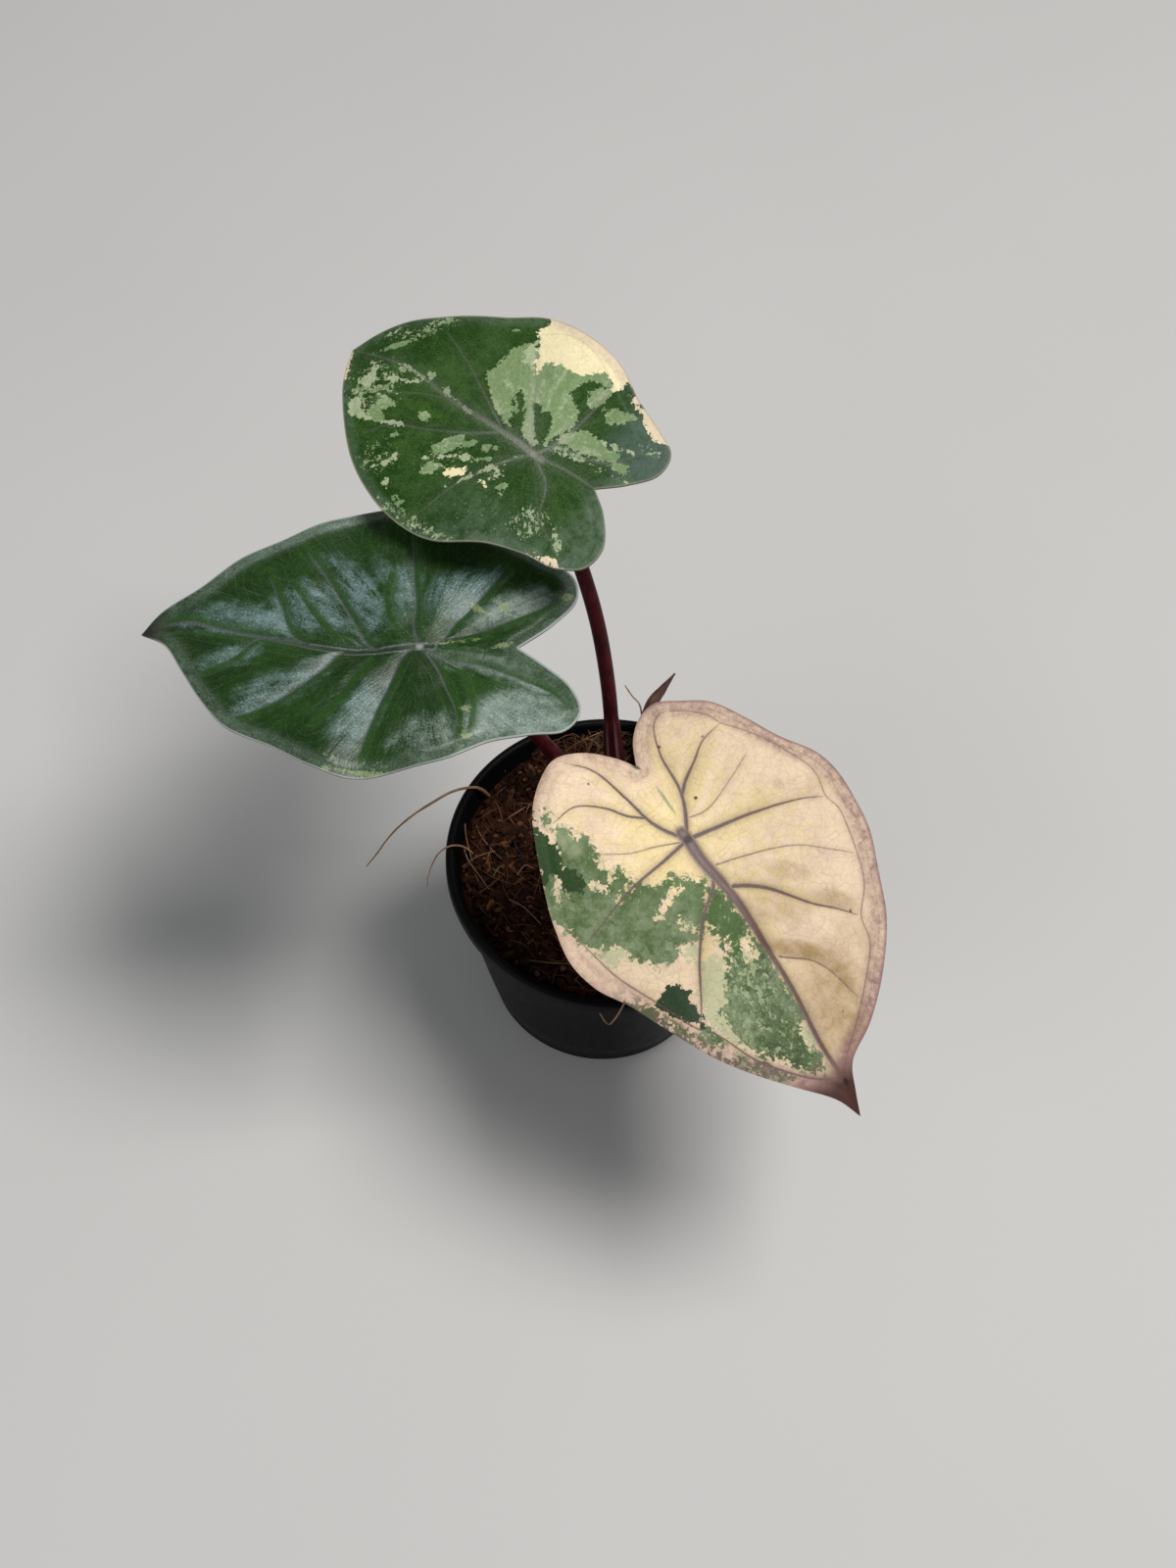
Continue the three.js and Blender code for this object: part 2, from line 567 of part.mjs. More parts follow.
for (const [side, leaf] of Object.entries(LEAVES)) {
  const frame = new THREE.Group();
  frame.applyMatrix4(leafMatrix(leaf));
  group.add(frame);
  place(`blade_${side}`, buildBlade(leaf), MATERIALS[`blade_${side}`], frame);
  place(`stalk_${side}`, buildStalk(leaf), MATERIALS.stalk);
  crown = crown.subtract(stalkTube(leaf, GAP));
  soil = soil.subtract(stalkTube(leaf, GAP));
}

for (const [name, root] of Object.entries(ROOTS)) {
  place(name, rootTube(root, 0), MATERIALS.root);
  soil = soil.subtract(rootTube(root, GAP));
}

place('pot', buildPot(), MATERIALS.pot);
place('soil', soil, MATERIALS.soil);
place('crown', crown, MATERIALS.crown);
place('dry_sheath', drySheath, MATERIALS.dry);

export default group;
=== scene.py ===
import math

import bpy
import numpy as np
from mathutils import Matrix, Vector, noise


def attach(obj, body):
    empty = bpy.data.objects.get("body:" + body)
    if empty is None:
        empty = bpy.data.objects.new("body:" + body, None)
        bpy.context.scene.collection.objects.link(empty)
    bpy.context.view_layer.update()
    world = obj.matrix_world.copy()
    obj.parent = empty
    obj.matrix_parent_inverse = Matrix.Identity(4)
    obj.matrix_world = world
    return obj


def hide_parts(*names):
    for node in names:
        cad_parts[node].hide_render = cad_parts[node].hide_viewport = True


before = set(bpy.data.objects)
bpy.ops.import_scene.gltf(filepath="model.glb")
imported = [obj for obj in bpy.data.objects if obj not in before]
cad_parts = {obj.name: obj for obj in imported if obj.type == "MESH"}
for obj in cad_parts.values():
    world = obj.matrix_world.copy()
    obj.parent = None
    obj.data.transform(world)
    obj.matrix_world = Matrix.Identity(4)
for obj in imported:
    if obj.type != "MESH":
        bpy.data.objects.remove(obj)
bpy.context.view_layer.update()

# A young variegated alocasia in a small nursery pot. Sizes are in millimetres unless a name says otherwise,
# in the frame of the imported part, and MM takes them to Blender's metres.
MM = 0.001
WELD = 1e-6
TINY = 1e-6

# Camera, at the viewing angle of the photograph
PHOTO_LONG_SIDE = 1600
FOCAL_PIXELS = 2000
SENSOR_SIDE = 36
CAMERA_PLACE = (-8.5, -267, 520)
CAMERA_PITCH = 57.7
CAMERA_ROLL = 5.6
CAMERA_SIGHT = 20  # metres


def set_camera():
    camera = bpy.data.cameras.new("camera")
    camera.sensor_width = SENSOR_SIDE
    camera.lens = SENSOR_SIDE * FOCAL_PIXELS / PHOTO_LONG_SIDE
    camera.clip_end = CAMERA_SIGHT
    holder = bpy.data.objects.new("camera", camera)
    tilt = Matrix.Rotation(math.radians(90 - CAMERA_PITCH), 4, "X")
    roll = Matrix.Rotation(math.radians(CAMERA_ROLL), 4, "Z")
    holder.matrix_world = Matrix.Translation(Vector(CAMERA_PLACE) * MM) @ tilt @ roll
    bpy.context.scene.collection.objects.link(holder)
    bpy.context.scene.camera = holder


# Light: a large softbox overhead and behind the plant, a weak one at its front left, and a pale room
LIGHTS = {
    "key_softbox": {"place": (530, 130, 1590), "side": 700, "watts": 22.0, "tint": (1, 0.99, 0.97)},
    "front_fill": {"place": (-900, -700, 800), "side": 700, "watts": 3.0, "tint": (0.96, 0.98, 1)},
}
LIGHT_AIM = (0, 0, 90)
ROOM_COLOUR = (0.80, 0.83, 0.88, 1)
ROOM_STRENGTH = 0.2


def set_lights():
    for name, light in LIGHTS.items():
        place = Vector(light["place"]) * MM
        turn = (Vector(LIGHT_AIM) * MM - place).to_track_quat("-Z", "Y")
        bpy.ops.object.light_add(type="AREA", location=place, rotation=turn.to_euler())
        lamp = bpy.context.object
        lamp.name = name
        lamp.data.size = light["side"] * MM
        lamp.data.energy = light["watts"]
        lamp.data.color = light["tint"]
    world = bpy.data.worlds.new("room")
    world.use_nodes = True
    backdrop = world.node_tree.nodes["Background"]
    backdrop.inputs["Color"].default_value = ROOM_COLOUR
    backdrop.inputs["Strength"].default_value = ROOM_STRENGTH
    bpy.context.scene.world = world
    bpy.context.scene.view_settings.view_transform = "Standard"


# Materials


def arithmetic(operation, swapped=False):
    """A method of Field that takes one other value"""

    def apply(self, other):
        return self.maths(operation, *((other, self) if swapped else (self, other)))

    return apply


class Field:
    """A value that varies over a surface: one node output, with the arithmetic of a number"""

    def __init__(self, finish, socket):
        self.finish = finish
        self.socket = socket

    def maths(self, operation, *values, clamp=False):
        return self.finish.maths(operation, *values, clamp=clamp)

    __add__ = __radd__ = arithmetic("ADD")
    __sub__, __rsub__ = arithmetic("SUBTRACT"), arithmetic("SUBTRACT", swapped=True)
    __mul__ = __rmul__ = arithmetic("MULTIPLY")
    __truediv__ = arithmetic("DIVIDE")
    __pow__ = arithmetic("POWER")
    least, most = arithmetic("MINIMUM"), arithmetic("MAXIMUM")

    def __neg__(self):
        return self * -1.0

    def __abs__(self):
        return self.maths("ABSOLUTE", self)

    def clamped(self):
        return self.maths("ADD", self, 0.0, clamp=True)

    def step(self, low, high):
        """0 below low, 1 above high, and a smooth rise between them; low may be the larger"""
        settings = {"interpolation_type": "SMOOTHSTEP"}
        values = (self, low, high, 0.0, 1.0) if low < high else (self, high, low, 1.0, 0.0)
        return self.finish.node("ShaderNodeMapRange", settings, dict(enumerate(values)))


class Finish:
    """A material in the making"""

    def __init__(self, name, **constants):
        self.material = bpy.data.materials.new(name)
        self.material.use_nodes = True
        self.tree = self.material.node_tree
        self.shader = self.tree.nodes["Principled BSDF"]
        for socket, value in constants.items():
            self.shader.inputs[socket.replace("_", " ")].default_value = value

    def node(self, kind, settings=None, inputs=None, output=0):
        """Makes a node from its type, its settings, and the values or links of its sockets"""
        made = self.tree.nodes.new(kind)
        for name, value in (settings or {}).items():
            setattr(made, name, value)
        for socket, value in (inputs or {}).items():
            if isinstance(value, Field):
                self.tree.links.new(value.socket, made.inputs[socket])
            else:
                made.inputs[socket].default_value = value
        return Field(self, made.outputs[output])

    def maths(self, operation, *values, clamp=False):
        settings = {"operation": operation, "use_clamp": clamp}
        return self.node("ShaderNodeMath", settings, dict(enumerate(values)))

    def attribute(self, name):
        return self.node("ShaderNodeAttribute", {"attribute_name": name}, output=2)

    def uv(self, name):
        return self.node("ShaderNodeUVMap", {"uv_map": name})

    def place(self):
        """Object coordinates, in millimetres"""
        return self.stretched(self.node("ShaderNodeTexCoord", output=3), 1 / MM)

    def stretched(self, vector, *factors):
        values = {0: vector, 1: factors * 3 if len(factors) == 1 else factors}
        return self.node("ShaderNodeVectorMath", {"operation": "MULTIPLY"}, values)

    def moved(self, vector, shift):
        return self.node("ShaderNodeVectorMath", {"operation": "ADD"}, {0: vector, 1: shift})

    def parts(self, vector):
        made = self.node("ShaderNodeSeparateXYZ", inputs={0: vector}).socket.node
        return [Field(self, socket) for socket in made.outputs]

    def vector(self, x, y, z=0.0):
        return self.node("ShaderNodeCombineXYZ", inputs={0: x, 1: y, 2: z})

    def noise(self, vector, size, detail=3.0, roughness=0.55):
        """Noise around 0, mostly within -0.5 to 0.5, with features of about the given size"""
        values = {"Vector": vector, "Scale": 1 / size, "Detail": detail, "Roughness": roughness}
        return (self.node("ShaderNodeTexNoise", inputs=values) - 0.5) * 2.0

    def cell_edges(self, vector, size):
        """Distance to the nearest border between irregular cells, as a share of their size"""
        settings = {"feature": "DISTANCE_TO_EDGE"}
        return self.node("ShaderNodeTexVoronoi", settings, {"Vector": vector, "Scale": 1 / size})

    def cell_tone(self, vector, size):
        """A random value from 0 to 1 for each irregular cell"""
        cells = self.node("ShaderNodeTexVoronoi", inputs={"Vector": vector, "Scale": 1 / size}, output=1)
        return self.parts(cells)[0]

    def mix(self, share, first, second):
        """The first colour where share is 0 and the second where it is 1"""
        settings = {"data_type": "RGBA"}
        return self.node("ShaderNodeMix", settings, {0: share, 6: first, 7: second}, output=2)

    def shade(self, colour, factor):
        """A colour made lighter or darker by a factor"""
        settings = {"data_type": "RGBA", "blend_type": "MULTIPLY"}
        grey = self.node("ShaderNodeCombineColor", inputs={0: factor, 1: factor, 2: factor})
        return self.node("ShaderNodeMix", settings, {0: 1.0, 6: colour, 7: grey}, output=2)

    def lay(self, share, over):
        """Lays another colour over the one that the material has so far"""
        self.colour = self.mix(share, self.colour, over)

    def tint(self, factor):
        """Makes the material's colour so far lighter or darker by a factor"""
        self.colour = self.shade(self.colour, factor)

    def done(self, roughness, height=None, strength=0.0, reach=0.0):
        """Gives the shader its colour, its roughness and a relief with the given reach in millimetres"""
        links = {"Base Color": self.colour, "Roughness": roughness}
        if height is not None:
            relief = {"Strength": strength, "Distance": reach * MM, "Height": height}
            links["Normal"] = self.node("ShaderNodeBump", inputs=relief)
        for socket, value in links.items():
            self.tree.links.new(value.socket, self.shader.inputs[socket])
        return self.material


# Shapes
CURVE_SAMPLES = 40
FIRST_SIDE = (0.3, 0.2, 0.9)
RIPPLE_SHIFT = (7.3, 3.1, 1.7)
RIPPLE_ROUGHNESS = 0.8
RIPPLE_LACUNARITY = 2.1


def select_only(piece):
    bpy.ops.object.select_all(action="DESELECT")
    piece.select_set(True)
    bpy.context.view_layer.objects.active = piece


def read(items, name, kind=float, width=1):
    """One property of each vertex, face or corner of a mesh, as an array"""
    values = np.empty(len(items) * width, kind)
    items.foreach_get(name, values)
    return values.reshape(-1, width) if width > 1 else values


def read_points(piece):
    return read(piece.data.vertices, "co", width=3)


def write_points(piece, points):
    piece.data.vertices.foreach_set("co", np.ascontiguousarray(points, dtype=float).ravel())
    piece.data.update()


def weld(piece, outward=True):
    select_only(piece)
    bpy.ops.object.mode_set(mode="EDIT")
    bpy.ops.mesh.select_all(action="SELECT")
    bpy.ops.mesh.remove_doubles(threshold=WELD)
    if outward:
        bpy.ops.mesh.normals_make_consistent(inside=False)
    bpy.ops.object.mode_set(mode="OBJECT")


def apply_modifier(piece, kind, **settings):
    select_only(piece)
    modifier = piece.modifiers.new(kind.title(), kind)
    for name, value in settings.items():
        setattr(modifier, name, value)
    bpy.ops.object.modifier_apply(modifier=modifier.name)


def laid_grid(name, columns, rows, lay, outward=True):
    """A grid primitive laid out by lay(u, v), which gives points in millimetres for u and v from 0 to 1"""
    bpy.ops.object.select_all(action="DESELECT")
    bpy.ops.mesh.primitive_grid_add(x_subdivisions=columns, y_subdivisions=rows, size=1)
    piece = bpy.context.object
    piece.name = piece.data.name = name
    flat = read_points(piece)
    write_points(piece, lay(flat[:, 0] + 0.5, flat[:, 1] + 0.5) * MM)
    weld(piece, outward)
    return piece


def thin_sheet(name, columns, rows, lay, thickness):
    """A laid grid with a thickness about its middle"""
    sheet = laid_grid(name, columns, rows, lay, outward=False)
    apply_modifier(sheet, "SOLIDIFY", thickness=thickness * MM, offset=0)
    weld(sheet)
    return sheet


def turned(name, profile, segments):
    """A disc primitive extruded ring by ring along a profile of radius and height"""
    bpy.ops.object.select_all(action="DESELECT")
    radius, height = profile[0]
    bpy.ops.mesh.primitive_circle_add(vertices=segments, radius=radius * MM, fill_type="TRIFAN")
    piece = bpy.context.object
    piece.name = piece.data.name = name
    bpy.ops.object.mode_set(mode="EDIT")
    bpy.ops.mesh.select_all(action="SELECT")
    bpy.ops.transform.translate(value=(0, 0, height * MM))
    for next_radius, next_height in profile[1:]:
        rise = (0, 0, (next_height - height) * MM)
        bpy.ops.mesh.extrude_region_move(TRANSFORM_OT_translate={"value": rise})
        widen = next_radius / radius
        bpy.ops.transform.resize(value=(widen, widen, 1))
        radius, height = next_radius, next_height
    bpy.ops.object.mode_set(mode="OBJECT")
    weld(piece)
    return piece


def finish_piece(piece, material, slot, *nodes, angle=40):
    """Shades a piece smooth, gives it its material and ties it to the frame"""
    select_only(piece)
    bpy.ops.object.shade_smooth_by_angle(angle=math.radians(angle))
    piece.data.materials.clear()
    piece.data.materials.append(material)
    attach(piece, "root")
    if nodes:
        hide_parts(*nodes)
    return piece


def bell(values, middle, width):
    """1 at the middle and close to 0 two widths away"""
    return np.exp(-(((values - middle) / width) ** 2))


def unit(vectors):
    return vectors / np.linalg.norm(vectors, axis=-1, keepdims=True)


def strides(points):
    """The length of each step along a row of points"""
    return np.linalg.norm(np.diff(points, axis=0), axis=1)


def grid_line(share, lines):
    """The number of a grid line from its share of the way across"""
    return np.rint(share * lines).astype(int)


def curve_through(points, count):
    """Evenly spaced points on a centripetal Catmull-Rom curve through the given ones"""
    p = np.array(points, float)
    p = np.vstack([2 * p[0] - p[1], p, 2 * p[-1] - p[-2]])
    gap = np.sqrt(strides(p))
    t = np.linspace(0, 1, CURVE_SAMPLES)[:, None]
    stretches = []
    for i in range(len(p) - 3):
        before, here, after = gap[i : i + 3]
        p0, p1, p2, p3 = p[i : i + 4]
        leave = p2 - p1 + here * ((p1 - p0) / before - (p2 - p0) / (before + here))
        arrive = p2 - p1 + here * ((p3 - p2) / after - (p3 - p1) / (here + after))
        cubic = 2 * (p1 - p2) + leave + arrive
        square = 3 * (p2 - p1) - 2 * leave - arrive
        stretches.append(cubic * t**3 + square * t**2 + leave * t + p1)
    fine = np.vstack(stretches)
    length = np.concatenate([[0], np.cumsum(strides(fine))])
    even = np.linspace(0, length[-1], count)
    return np.column_stack([np.interp(even, length, fine[:, k]) for k in range(fine.shape[1])])


def path_frames(path):
    """Two directions across a path at each of its points, carried along it without twist"""
    along = unit(np.gradient(path, axis=0))
    side = np.cross(along[0], FIRST_SIDE)
    sides = []
    for direction in along:
        side = unit(side - direction * side.dot(direction))
        sides.append(side)
    sides = np.array(sides)
    return sides, np.cross(along, sides)


def tube(name, points, radius_at, sides, steps):
    """A closed tube along a curve; radius_at takes the turn round it and the share of its length"""
    path = curve_through(points, steps - 1)
    first, second = path_frames(path)

    def lay(u, v):
        row = grid_line(v, steps)
        at = np.clip(row - 1, 0, steps - 2)
        open_ring = (row > 0) & (row < steps)
        radius = np.where(open_ring, radius_at(u, at / (steps - 2)), 0)
        angle = 2 * np.pi * u
        return (path[at] + first[at] * (radius * np.cos(angle))[:, None]
                + second[at] * (radius * np.sin(angle))[:, None])

    return laid_grid(name, sides, steps, lay)


def ripple(points, size, seed, octaves=3):
    """Smooth noise at each point, about -0.5 to 0.5"""
    shift = Vector([seed * part for part in RIPPLE_SHIFT])
    settings = (RIPPLE_ROUGHNESS, RIPPLE_LACUNARITY, octaves)
    return np.array([noise.fractal(Vector(p) / size + shift, *settings, noise_basis="PERLIN_ORIGINAL")
                     for p in points])


# Leaves. Each blade lies in its own frame: x towards the tip, y across, z out of the upper face, with its
# origin at the hub, where the stalk joins. Its two outlines run from the notch to the tip.
# A vein is its points, its half width at both ends, and how deep it lies between the pillows beside it.
# A row of points lists x and y in turn.
BACK_LEAF = {
    "hub": (-29.6, 53.4, 160), "heading": 142.5, "dip": 5.2, "roll": -15.2,
    "form": {"droop": 0.0012, "lobe_droop": 0.0008, "arch": 0.002, "fold": 0.05, "tip_from": 44,
             "tip_droop": 0.006, "wave": 1.2, "wave_length": 30, "wave_phase": 0.6},
    "notch": (-19.2, -1.1), "tip": (67, 0), "pillow_reach": 3.2, "ruffle": 0.25,
    "left": [-25.7, 3.2, -31.6, 10.5, -31.3, 16.9, -25.5, 20.9, -16.4, 22.2, -7.4, 25.2, 3.8, 32, 14.3, 33.4,
             25.1, 32.2, 39.6, 26.2, 51.9, 16.9, 61.1, 8.2],
    "right": [-25, -6.4, -29.4, -12.8, -28.2, -19, -21.3, -22.5, -11.5, -26.5, -0.2, -32.5, 9.9, -34,
              25, -33.4, 34.4, -27.1, 47.4, -20.1, 57.5, -13.9, 63.4, -7.1],
    "stalk": [(-0.6, 25.6, 57), (-1.2, 26.8, 62), (-2.8, 29.6, 73), (-5.8, 34.8, 93), (-10.1, 40.2, 112),
              (-15.4, 44.8, 128), (-22.6, 49.8, 145)],
    "veins": {
        "midrib": ([-3, 0, 0, 0, 5.4, -0.5, 16.4, -0.9, 29.1, -0.8, 43.8, -2.4, 65, -0.4], 0.8, 0.15, 0.7),
        "right_front": ([2, -1.5, 6.6, -7.1, 10.9, -12.7, 17.4, -21.7, 22.2, -26.8], 0.35, 0.12, 0.6),
        "right_side": ([0, 0, -2.4, -3.6, -3.9, -11.7, -3.9, -19.8, -3, -26], 0.42, 0.12, 0.6),
        "right_lobe": ([0, 0, -4.4, -4.9, -9.5, -5.7, -16.8, -8.2, -22, -14], 0.35, 0.1, 0.5),
        "notch_edge": ([0, 0, -4.5, -0.4, -11.2, -1.2, -18.6, -1], 0.25, 0.2, 0.3),
        "left_lobe": ([0, 0, -3.5, 1.7, -8.8, 5.2, -13.2, 12.7, -20, 16], 0.28, 0.08, 0.5),
        "left_side": ([0, 0, 5, 6.4, 7.8, 11.7, 10.2, 16.1, 13.3, 28], 0.3, 0.1, 0.5),
        "left_front": ([11.3, -0.4, 18.1, 4.3, 28.8, 9.7, 37.5, 13.4, 42, 19], 0.28, 0.1, 0.4),
        "right_tip": ([9.8, -0.3, 18.3, -4.5, 33.8, -11.8, 44, -15.5], 0.25, 0.08, 0.4),
        "left_tip": ([29, -0.8, 38, 2.5, 49, 8.5], 0.15, 0.08, 0.25),
        "right_rim": ([22.5, -28.5, 16.5, -31.5, 6.5, -31, -3, -26.5, -11, -22.5, -19, -17.5], 0.1, 0.1, 0.2),
    },
}
LEFT_LEAF = {
    "hub": (-51.8, 7.7, 140), "heading": 178.3, "dip": 3.3, "roll": -5,
    "form": {"droop": 0.001, "lobe_droop": 0.0006, "arch": 0.0018, "fold": 0.07, "tip_from": 56,
             "tip_droop": 0.012, "wave": 1.6, "wave_length": 27, "wave_phase": 2.0},
    "notch": (-23.6, -1.8), "tip": (69.4, 0), "pillow_reach": 3.8, "ruffle": 0.45,
    "left": [-30.2, 2.1, -37.1, 7.3, -40.4, 13.9, -37.2, 19.8, -29, 21.8, -20, 24.2, -9.8, 30.8, 1, 34.5,
             12, 36.9, 20.4, 35.2, 31, 30, 42.6, 26.2, 49.7, 19.6, 56.2, 11.5, 62.4, 3.8],
    "right": [-31, -8.9, -36, -17, -34.3, -23.4, -24.9, -28, -9.7, -35.3, 3.8, -37.6, 15.3, -39.1,
              26.3, -33.8, 35.3, -28.9, 46.5, -22.8, 56.5, -12.2, 65.3, -5.5],
    "stalk": [(-8, 19.4, 57.5), (-11.4, 20.4, 64), (-19.9, 21.6, 79.4), (-31, 20.2, 99), (-41.5, 16, 119)],
    "veins": {
        "midrib": ([-3, -0.3, 0, 0, 6.2, 1.4, 20.1, 2.4, 34.3, 0.9, 49.9, -1.4, 56.8, -2.8,
                    67, -1.2], 1.05, 0.35, 2.0),
        "right_tip": ([26.7, 1.5, 30.9, -0.2, 36.3, -10, 40, -17], 0.36, 0.15, 1.7),
        "right_front": ([10, 1.5, 13.1, -0.4, 16.9, -5.6, 26.5, -18.4, 32.5, -25], 0.42, 0.18, 2.4),
        "right_side": ([0, 0, 2.2, -5.2, 2.6, -10.8, 4.2, -18.4, 6.5, -31], 0.42, 0.18, 2.4),
        "right_back": ([0, 0, -4.9, -2.4, -7.6, -7.9, -11.4, -13.3, -17.5, -23], 0.42, 0.18, 2.2),
        "right_lobe": ([-4.9, -2.4, -12.5, -5.4, -20.1, -9.2, -27.4, -13.3, -31.8, -16.6], 0.36, 0.15, 1.7),
        "left_tip": ([34.3, 0.9, 39.6, 0.9, 44.3, 6.3, 50, 10.5], 0.3, 0.12, 1.5),
        "left_front": ([14.9, 2, 19.2, 3.2, 22, 7.4, 31.8, 17.5, 40, 23], 0.42, 0.18, 2.4),
        "left_side": ([0, 0, 3.2, 2.5, 5.5, 9.7, 7.8, 19, 10, 31.5], 0.42, 0.18, 2.4),
        "left_back": ([0, 0, -4.6, 5.1, -8.4, 11.7, -11.3, 17.3, -12, 24], 0.36, 0.14, 1.8),
        "left_lobe": ([0, 0, -7.1, 3.1, -15.9, 3.8, -24.2, 6.4, -32.5, 9.6, -37, 13], 0.36, 0.15, 1.7),
        "right_fold": ([3.5, -1, 8, -5.5, 10.5, -12, 10.5, -19], 0.08, 0.04, 0.9),
        "left_fold": ([11, 2.3, 15, 10.5, 18, 17.5, 22, 23], 0.08, 0.04, 1.0),
        "tip_fold": ([20, 1, 27.5, -6.5, 33, -13.5], 0.08, 0.04, 0.9),
        "lobe_fold": ([-6, 4, -11, 7.5, -14, 14, -14.5, 20], 0.06, 0.04, 0.7),
    },
}
FRONT_LEAF = {
    "hub": (17.2, -19.6, 108), "heading": -51.9, "dip": 11.6, "roll": 5.9,
    "form": {"droop": 0.0009, "lobe_droop": 0.0006, "arch": 0.0021, "fold": 0.05, "tip_from": 66,
             "tip_droop": 0.012, "wave": 1.4, "wave_length": 32, "wave_phase": 1.0},
    "notch": (-22.5, -0.8), "tip": (78, 0), "pillow_reach": 3.4, "ruffle": 0.25,
    "left": [-28.8, 2.3, -33.1, 7, -34.4, 12.3, -31.7, 18.2, -27.6, 25, -19.9, 30.6, -10.6, 35.3, -2, 40.7,
             6.8, 43.2, 17, 42.3, 30, 36.8, 41.3, 32.2, 52, 23.5, 60.7, 13.8, 66.5, 4.8, 72.3, 2],
    "right": [-26.9, -4.1, -32.5, -10.7, -34.5, -17.4, -31.3, -23.6, -25, -29.5, -17.3, -33.1, -6.8, -36.9,
              1.7, -39.6, 11.8, -41.2, 19.8, -38.9, 27.4, -34.1, 36.9, -29.8, 47.9, -24, 57.7, -16.5,
              65.4, -9.4, 72.3, -2.9],
    "stalk": [(2.9, 17.4, 57.5), (4, 16.2, 63), (7.4, 10.2, 76), (12, 0, 89.5), (15.8, -12, 99.5)],
    "veins": {
        "midrib": ([-2, -0.3, 0, 0, 5.8, 0, 16.3, 1.8, 30.2, 2.2, 44.9, 1.8, 59.9, 0.5, 68.2, 0.8,
                    76, 0.1], 1.85, 0.45, 0.7),
        "left_lobe": ([0, 0, -10.6, 5.1, -22.2, 6.2, -29.5, 8.9, -31.5, 12.2, -30.8, 14.4], 0.6, 0.1, 0.9),
        "left_fork": ([-10.6, 5.1, -13.3, 8, -16.6, 12.8, -20, 17.4, -21.8, 24], 0.5, 0.1, 0.9),
        "left_side": ([0, 0, 1, 8, 2, 15.7, 5.3, 30.5, 7.8, 36.6], 0.62, 0.12, 1.0),
        "left_between": ([8, 0.6, 9, 2.6, 10, 7, 14.5, 22, 19.9, 29.3, 24, 34.1], 0.2, 0.1, 0.2),
        "left_front": ([13.4, 1.1, 14.7, 1.9, 16.9, 6, 20.3, 10.4, 29.3, 17.8, 33.1, 22,
                        37.7, 26.4], 0.64, 0.14, 1.3),
        "left_tip": ([30.8, 1.8, 35, 2.8, 37.5, 5.7, 40.4, 9.6, 44.1, 12.1, 54.8, 14.8], 0.26, 0.1, 1.5),
        "left_rim": ([-21.8, 24, -15.2, 29.8, -5.8, 34.6, 1.8, 37.3, 7.8, 36.6, 11.8, 37.9, 22.7, 35,
                      31.7, 31.5, 38, 26.5, 44.1, 25.1, 52.2, 18, 58.6, 11.4, 65.1, 3.7,
                      68, 1], 0.12, 0.14, 0.3),
        "left_back": ([-30.8, 14.4, -28.2, 19, -25, 22.4, -21.8, 24], 0.12, 0.12, 0.2),
        "right_lobe": ([0, 0, -4.3, -3.3, -8.5, -5.5, -17.4, -7.6, -27, -10.7,
                        -32.3, -15.4], 0.55, 0.15, 0.8),
        "right_fork": ([-10.1, -6.2, -12.7, -9.7, -16.7, -12.9, -21.2, -19.7, -20.3, -26], 0.35, 0.15, 0.4),
        "right_between": ([-0.3, -2.1, -2.5, -8.2, -4, -13.7, -7.9, -20.9], 0.2, 0.1, 0.2),
        "right_side": ([0, 0, 1.5, -7.3, 3.3, -17.6, 5.5, -24.5, 8, -31, 10, -36], 0.5, 0.16, 0.9),
        "right_front": ([10.1, 0.4, 12.3, -0.2, 18.3, -7, 26.5, -13.6, 35.9, -19.2,
                         41, -22.6], 0.5, 0.18, 0.9),
        "right_rim": ([7.2, -36.8, 18.8, -33.6, 29.2, -28.7, 40.1, -23.8, 44.4, -20.1, 54.2, -15.1,
                       62.9, -7.7, 66.3, -3.4, 67.7, 0], 0.14, 0.24, 0.3),
        "left_spur": ([-4.8, 2.4, -4, 8, -7, 16, -11.5, 25], 0.17, 0.08, 0.15),
    },
}
LEAVES = {"back": BACK_LEAF, "left": LEFT_LEAF, "front": FRONT_LEAF}

